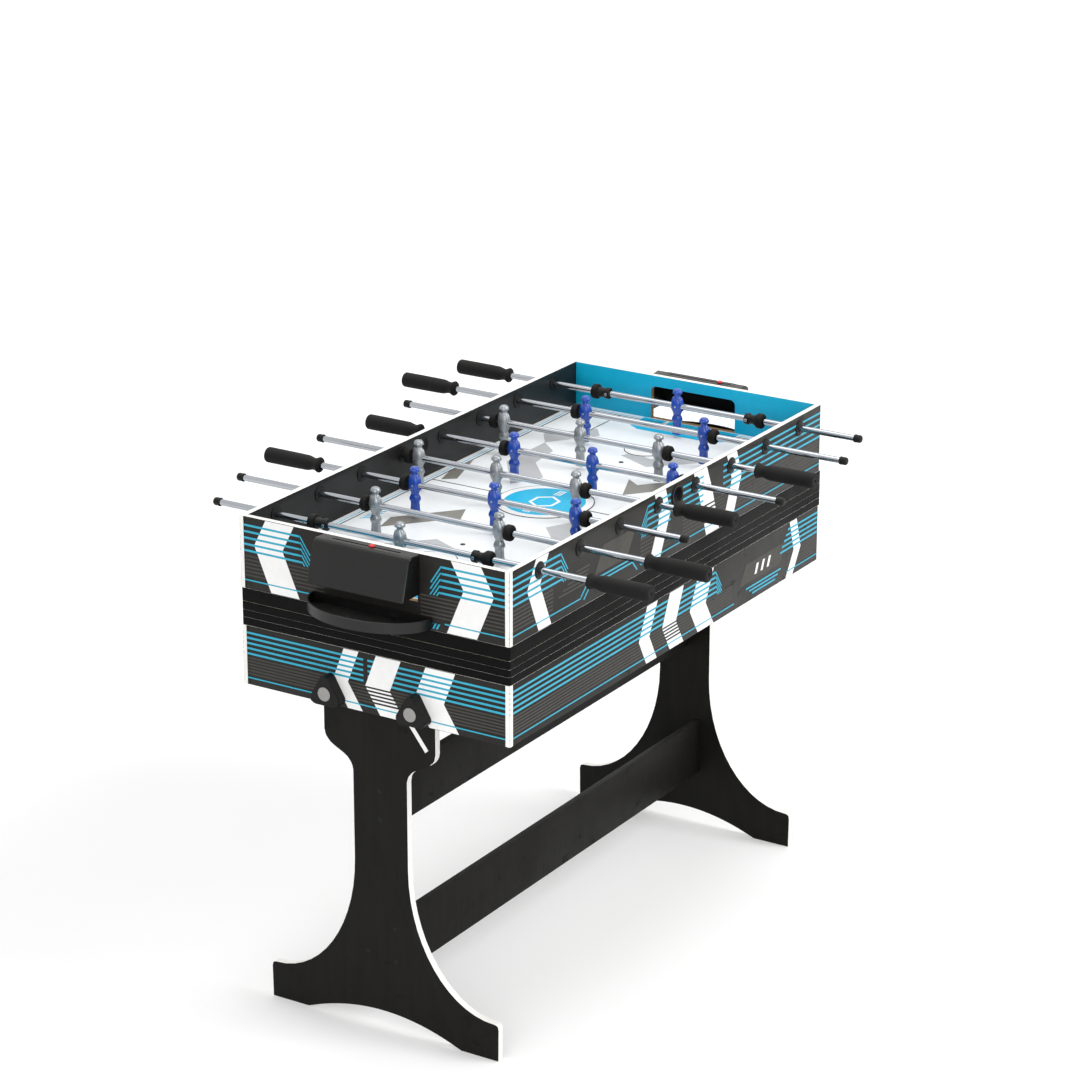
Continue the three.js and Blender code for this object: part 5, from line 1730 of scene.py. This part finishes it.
def makeHoods():
    f = hoodForm
    top, bottom, t, middle = f["top"], f["bottom"], f["wall"], endFace + f["slotAt"]
    out, topOut, inner = endFace + f["reach"], endFace + f["topReach"], endFace - 3
    outer = [(endFace, bottom), (out, bottom)]
    outer += softCorners([(out, bottom), (topOut + 1.5, top), (endFace, top)], 9, steps=8)[1:]
    hollow = [(inner, bottom - 3), (out - t, bottom - 3), (out - t, bottom)]
    hollow += softCorners([(out - t, bottom), (topOut + 1 - t, top - t), (inner, top - t)], 7, steps=5)[1:]
    for end, s in ends:
        shell = prismShape([(s * u, v) for u, v in outer], "y", (-f["half"], f["half"]), 3.2, 4)
        cavity = prismShape([(s * u, v) for u, v in hollow], "y", (t - f["half"], f["half"] - t), 1.5, 2)
        slotX = sorted((s * (middle - f["slotSide"]), s * (middle + f["slotSide"])))
        slot = roundedOutline(slotX, (-f["slotHalf"], f["slotHalf"]), 1.9, 5)
        shape = cutShape(shell, [cavity, prismShape(slot, "z", (top - 6, top + 4))])
        makePiece(
            end + "BallHood", shape, "football_box", "hoodPlastic", [end + "_ball_hood"],
            smooth=35)
        makeCounterMarks(end, s)


def makeCounterMarks(end, s):  # raised ticks and a raised frame round the counter's slot
    f, shape = hoodForm, bmesh.new()
    middle, frame, half = endFace + f["slotAt"], f["frame"], f["frameHalf"]

    def mark(x, y):
        return blockShape(sorted(x), y, (f["top"] - 0.3, f["top"] + 0.2), 0.15, 1)

    for offset, reach, thick, count, step in ((f["tick"], 2.4, 0.7, 11, 14), (-f["tick"], 3, 1.1, 3, 70)):
        x = s * (middle + offset)
        tick = mark((x - reach, x + reach), (-thick, thick))
        addShape(shape, rowShape(tick, count, (0, -70, 0), (0, step, 0)))
    for offset in (-frame, frame):
        x = s * (middle + offset)
        addShape(shape, mark((x - 0.5, x + 0.5), (-half, half)))
    for y in (-half, half):
        addShape(shape, mark((s * (middle - frame), s * (middle + frame)), (y - 0.5, y + 0.5)))
    makePiece(end + "CounterMarks", shape, "football_box", "greyInk")


def bowlOutline(s, reach, half, back):  # half an ellipse, starting a little way out from the wall
    turns = [-math.pi / 2 + math.pi * k / 40 for k in range(41)]
    return [(s * (endFace + back + (reach - back) * math.cos(a)), half * math.sin(a)) for a in turns]


def makeTrays():
    reach, half, wall, floor = (trayForm[key] for key in ("reach", "half", "wall", "floor"))
    for end, s in ends:
        z0, z1 = limitsOf(end + "_ball_tray")[2]
        body = prismShape(bowlOutline(s, reach, half, 0), "z", (z0, z1), 1.1, 3)
        dish = prismShape(bowlOutline(s, reach - wall, half - wall, floor), "z", (z0 + floor, z1 + 4), 0)
        makePiece(end + "BallTray", cutShape(body, [dish]), "football_box", "hoodPlastic",
                  [end + "_ball_tray"], smooth=40)


def makeBeads():
    top = hoodForm["top"]
    for (end, s), y in zip(ends, beadSpots):
        x = s * (endFace + hoodForm["slotAt"])
        bead = turnedShape([(r, top + h) for r, h in beadForm], "z", (x, y), 40)
        for half, low, high, edge in ((1.7, -3.8, 0.6, 0.2), (3.5, -4.8, -2.8, 0.4)):  # the stem and its foot
            addShape(
                bead, blockShape((x - half, x + half), (y - half, y + half), (top + low, top + high), edge, 1)
            )
        makePiece(end + "ScoreBead", bead, end + "_score", "redPlastic", [end + "_score_bead"],
                  smooth=50)


makeBoxWalls()
makeField()
makeHoods()
makeTrays()
makeBeads()
print("football box")


# player rods

rodForm = {
    "radius": 6.35, "holeDepth": 16.3, "ring": 16, "ringThick": 14, "collar": 12, "collarLength": 28,
    "cap": 8.5, "capLength": 16, "grip": 16, "gripLength": 132,
}
rodKinds = {
    "keeper": {"men": [0], "grip": 549, "stub": 436, "ringAt": 200},
    "pair": {"men": [-142.5, 142.5], "grip": 600, "stub": 474, "ringAt": 165.5},
    "three": {"men": [-186, 0, 186], "grip": 545, "stub": 436, "ringAt": 209},
}

# kind, team, side of the grip, place across the box
rodList = [
    ("keeper", "silver", -1, 5), ("pair", "silver", -1, 18), ("three", "blue", 1, -20),
    ("three", "silver", -1, 68), ("three", "blue", 1, -68), ("three", "silver", -1, 49),
    ("pair", "blue", 1, -18), ("keeper", "blue", 1, -14)
]

# a man from the head down: height over the rod, half depth, half width, squareness
manRings = [
    (37.5, 2.6, 2.8, 2), (36.9, 5.2, 5.6, 2), (35.6, 7.4, 7.8, 2), (33.4, 9.0, 9.4, 2), (30.8, 9.8, 10.2, 2),
    (28.8, 10.2, 10.6, 2), (27.8, 9.8, 10.2, 2), (26.9, 7.6, 7.8, 2), (25.2, 6.4, 6.6, 2),
    (22.6, 6.0, 6.4, 2), (20.4, 6.6, 7.4, 2.1), (17.4, 7.8, 9.4, 2.2), (13.6, 8.9, 11.3, 2.3),
    (8.6, 9.9, 12.7, 2.3), (3, 10.5, 13.5, 2.3), (-3, 10.4, 13.3, 2.3), (-8.4, 9.6, 12.1, 2.3),
    (-12.8, 8.2, 10.4, 2.2), (-16.4, 6.9, 8.9, 2.2), (-19.2, 6.4, 8.3, 2.2), (-21.8, 6.9, 9.1, 2.4),
    (-25, 8.0, 10.5, 2.8), (-28.4, 8.6, 11.2, 3), (-31.2, 8.5, 11, 3.2), (-33.4, 7.4, 9.8, 3.4),
    (-35.4, 6.3, 8.5, 4), (-38, 6.0, 8.0, 5), (-44, 6.1, 8.1, 6), (-52, 6.4, 8.4, 7), (-60.6, 6.9, 8.9, 8),
    (-62, 6.7, 8.7, 7), (-62.5, 6.0, 8.0, 6)
]


def loftShape(rings, centre, segments=36):
    shape = bmesh.new()
    made = []
    for height, a, b, power in rings:
        ring = []
        for i in range(segments):
            angle = 2 * math.pi * i / segments
            c, s = math.cos(angle), math.sin(angle)
            u = a * math.copysign(abs(c) ** (2 / power), c)
            v = b * math.copysign(abs(s) ** (2 / power), s)
            ring.append(shape.verts.new((centre[0] + u, centre[1] + v, centre[2] + height)))
        made.append(ring)
    joinRings(shape, list(zip(made, made[1:])), segments)
    shape.faces.new(made[0])
    shape.faces.new(made[-1])
    return shape


armRings = [(19.4, 2.2, 1.9, 2), (17.6, 3.5, 2.9, 2), (13, 3.9, 3.1, 2), (6, 3.7, 2.9, 2), (-1, 3.5, 2.8, 2),
            (-6.4, 3.3, 2.6, 2), (-9.6, 2.2, 1.8, 2)]
pinLine = [(0, -11.0), (1.9, -11.0), (2.1, -10.4), (2.1, 10.4), (1.9, 11.0), (0, 11.0)]


def makeMan(x, y, z):
    shape = loftShape(manRings, (x, y, z))
    top, reach = armRings[0][0], armRings[-1][0] - armRings[0][0]
    for s in (-1, 1):  # arms laid against the body
        arm = loftShape(armRings, (x, 0, z), 20)
        for vert in arm.verts:
            t = max(0.0, (vert.co.z - z - top) / reach)
            vert.co.y += y + s * (
                8.2 + 4.6 * math.sin(min(1.0, t * 1.25) * math.pi / 2) - 1.2 * max(0.0, t - 0.6))
        addShape(shape, arm)
    return shape


# outlines on a rod as [radius, distance from its middle], the stub end positive
def capLine(stub):
    r, c, inner = rodForm["radius"] + 0.05, rodForm["cap"], stub - rodForm["capLength"]
    return [(r, inner), (c - 0.5, inner), (c, inner + 0.8), (c, inner + 3), (c - 0.35, inner + 3.4),
            (c - 0.35, stub - 3.6), (c - 1.0, stub - 1.8), (c - 2.2, stub - 0.6), (c - 4, stub), (0, stub),
            (0, stub - 2.5), (r, stub - 2.5)]


def ringLine(inner):
    r, g, outer = rodForm["radius"] + 0.05, rodForm["ring"], inner + rodForm["ringThick"]
    return [
        (r, inner), (g - 2.6, inner), (g - 0.9, inner + 0.5), (g - 0.1, inner + 2), (g, inner + 4),
        (g, outer - 4.4), (g - 0.2, outer - 2.6), (g - 1.4, outer - 0.9), (g - 3, outer - 0.1), (10.6, outer),
        (9.6, outer - 1.1), (r, outer - 1.1)]


def collarLine(start, end):
    r, k = rodForm["radius"] + 0.05, rodForm["collar"]
    return [
        (r, start), (k - 1.2, start), (k - 0.2, start + 0.8), (k, start + 2), (k, start + 9),
        (k - 2.2, start + 11), (k - 2.2, end - 8), (k - 0.4, end - 5), (k - 0.4, end - 0.1), (r, end - 0.1)]


def gripLine(end):
    r, g, inner = rodForm["radius"] + 0.35, rodForm["grip"], end + rodForm["gripLength"]
    return [
        (2.4, end + 16), (2.4, end + 1.2), (2.9, end + 0.5), (4.6, end), (10.6, end), (11.2, end + 0.5),
        (11.8, end), (g - 3.4, end), (g - 1.3, end + 0.9), (g - 0.2, end + 2.8), (g, end + 6), (g, end + 40),
        (g - 0.3, inner - 44), (g - 0.6, inner - 31), (g - 1.6, inner - 26), (g - 3.3, inner - 20),
        (g - 3.9, inner - 15.5), (g - 3.3, inner - 11), (g - 1.4, inner - 7.2), (g - 0.3, inner - 5),
        (g - 0.1, inner - 3.4), (g - 0.8, inner - 1.6), (g - 2.2, inner - 0.6), (g - 4, inner), (r, inner),
        (r, end + 16)]


def makeRod(number, x, kind, team, gripSide, shift):
    f, z, layout = rodForm, boxForm["rodHeight"], rodKinds[kind]
    name, body, slot = f"rod{number}", f"rod_spin_{number}", team + "_team"
    r, stub, start = f["radius"], layout["stub"], f["holeDepth"] - layout["grip"]
    inner = layout["ringAt"] - f["ringThick"] / 2

    def onRod(line, segments, sides=(1,)):  # turned about the rod, on one or both sides of its middle
        shape = bmesh.new()
        for side in sides:
            profile = [(a, shift - gripSide * (side * b)) for a, b in line]
            addShape(shape, turnedShape(profile, "y", (x, z), segments))
        return shape

    tube = [(0, start), (r - 0.5, start), (r, start + 0.5), (r, stub - 3), (0, stub - 3)]
    makePiece(name + "Tube", onRod(tube, 40), body, "chrome", [f"rod_{number}"], smooth=40)
    makePiece(name + "Cap", onRod(capLine(stub), 36), body, "blackPlastic", smooth=40)
    makePiece(name + "StopRings", onRod(ringLine(inner), 40, (-1, 1)), body, "rubber", smooth=40)
    if kind == "keeper":
        k, collarStart = f["collar"], inner - f["collarLength"]
        collars = onRod(collarLine(collarStart, inner), 36, (-1, 1))
        makePiece(name + "Collars", collars, body, "blackPlastic", smooth=40)
        head = [
            (0, k - 1), (3.4, k - 1), (3.4, k + 0.1), (3.0, k + 0.5), (1.5, k + 0.5), (1.4, k - 0.2),
            (0, k - 0.2)]
        screws = bmesh.new()
        for side in (-1, 1):
            middle = shift - gripSide * side * (collarStart + 5.5)
            addShape(screws, turnedShape([(a, x - b) for a, b in head], "x", (middle, z), 20))
        makePiece(name + "CollarScrews", screws, body, "steel", smooth=40)
    men, pins = bmesh.new(), bmesh.new()
    for place in layout["men"]:
        addShape(men, makeMan(x, shift + place, z))
        addShape(pins, turnedShape([(a, x + b) for a, b in pinLine], "x", (shift + place, z), 20))
    makePiece(name + "Men", men, body, team + "Team", smooth=50)
    makePiece(name + "ManPins", pins, body, "steel", smooth=50)
    makePiece(
        name + "Grip", onRod(gripLine(-layout["grip"]), 48), f"grip_slide_{number}", "gripRubber",
        [f"grip_{number}"], smooth=38)


for index, (kind, team, gripSide, shift) in enumerate(rodList):
    makeRod(index + 1, rodSpots[index], kind, team, gripSide, shift)
print("player rods")
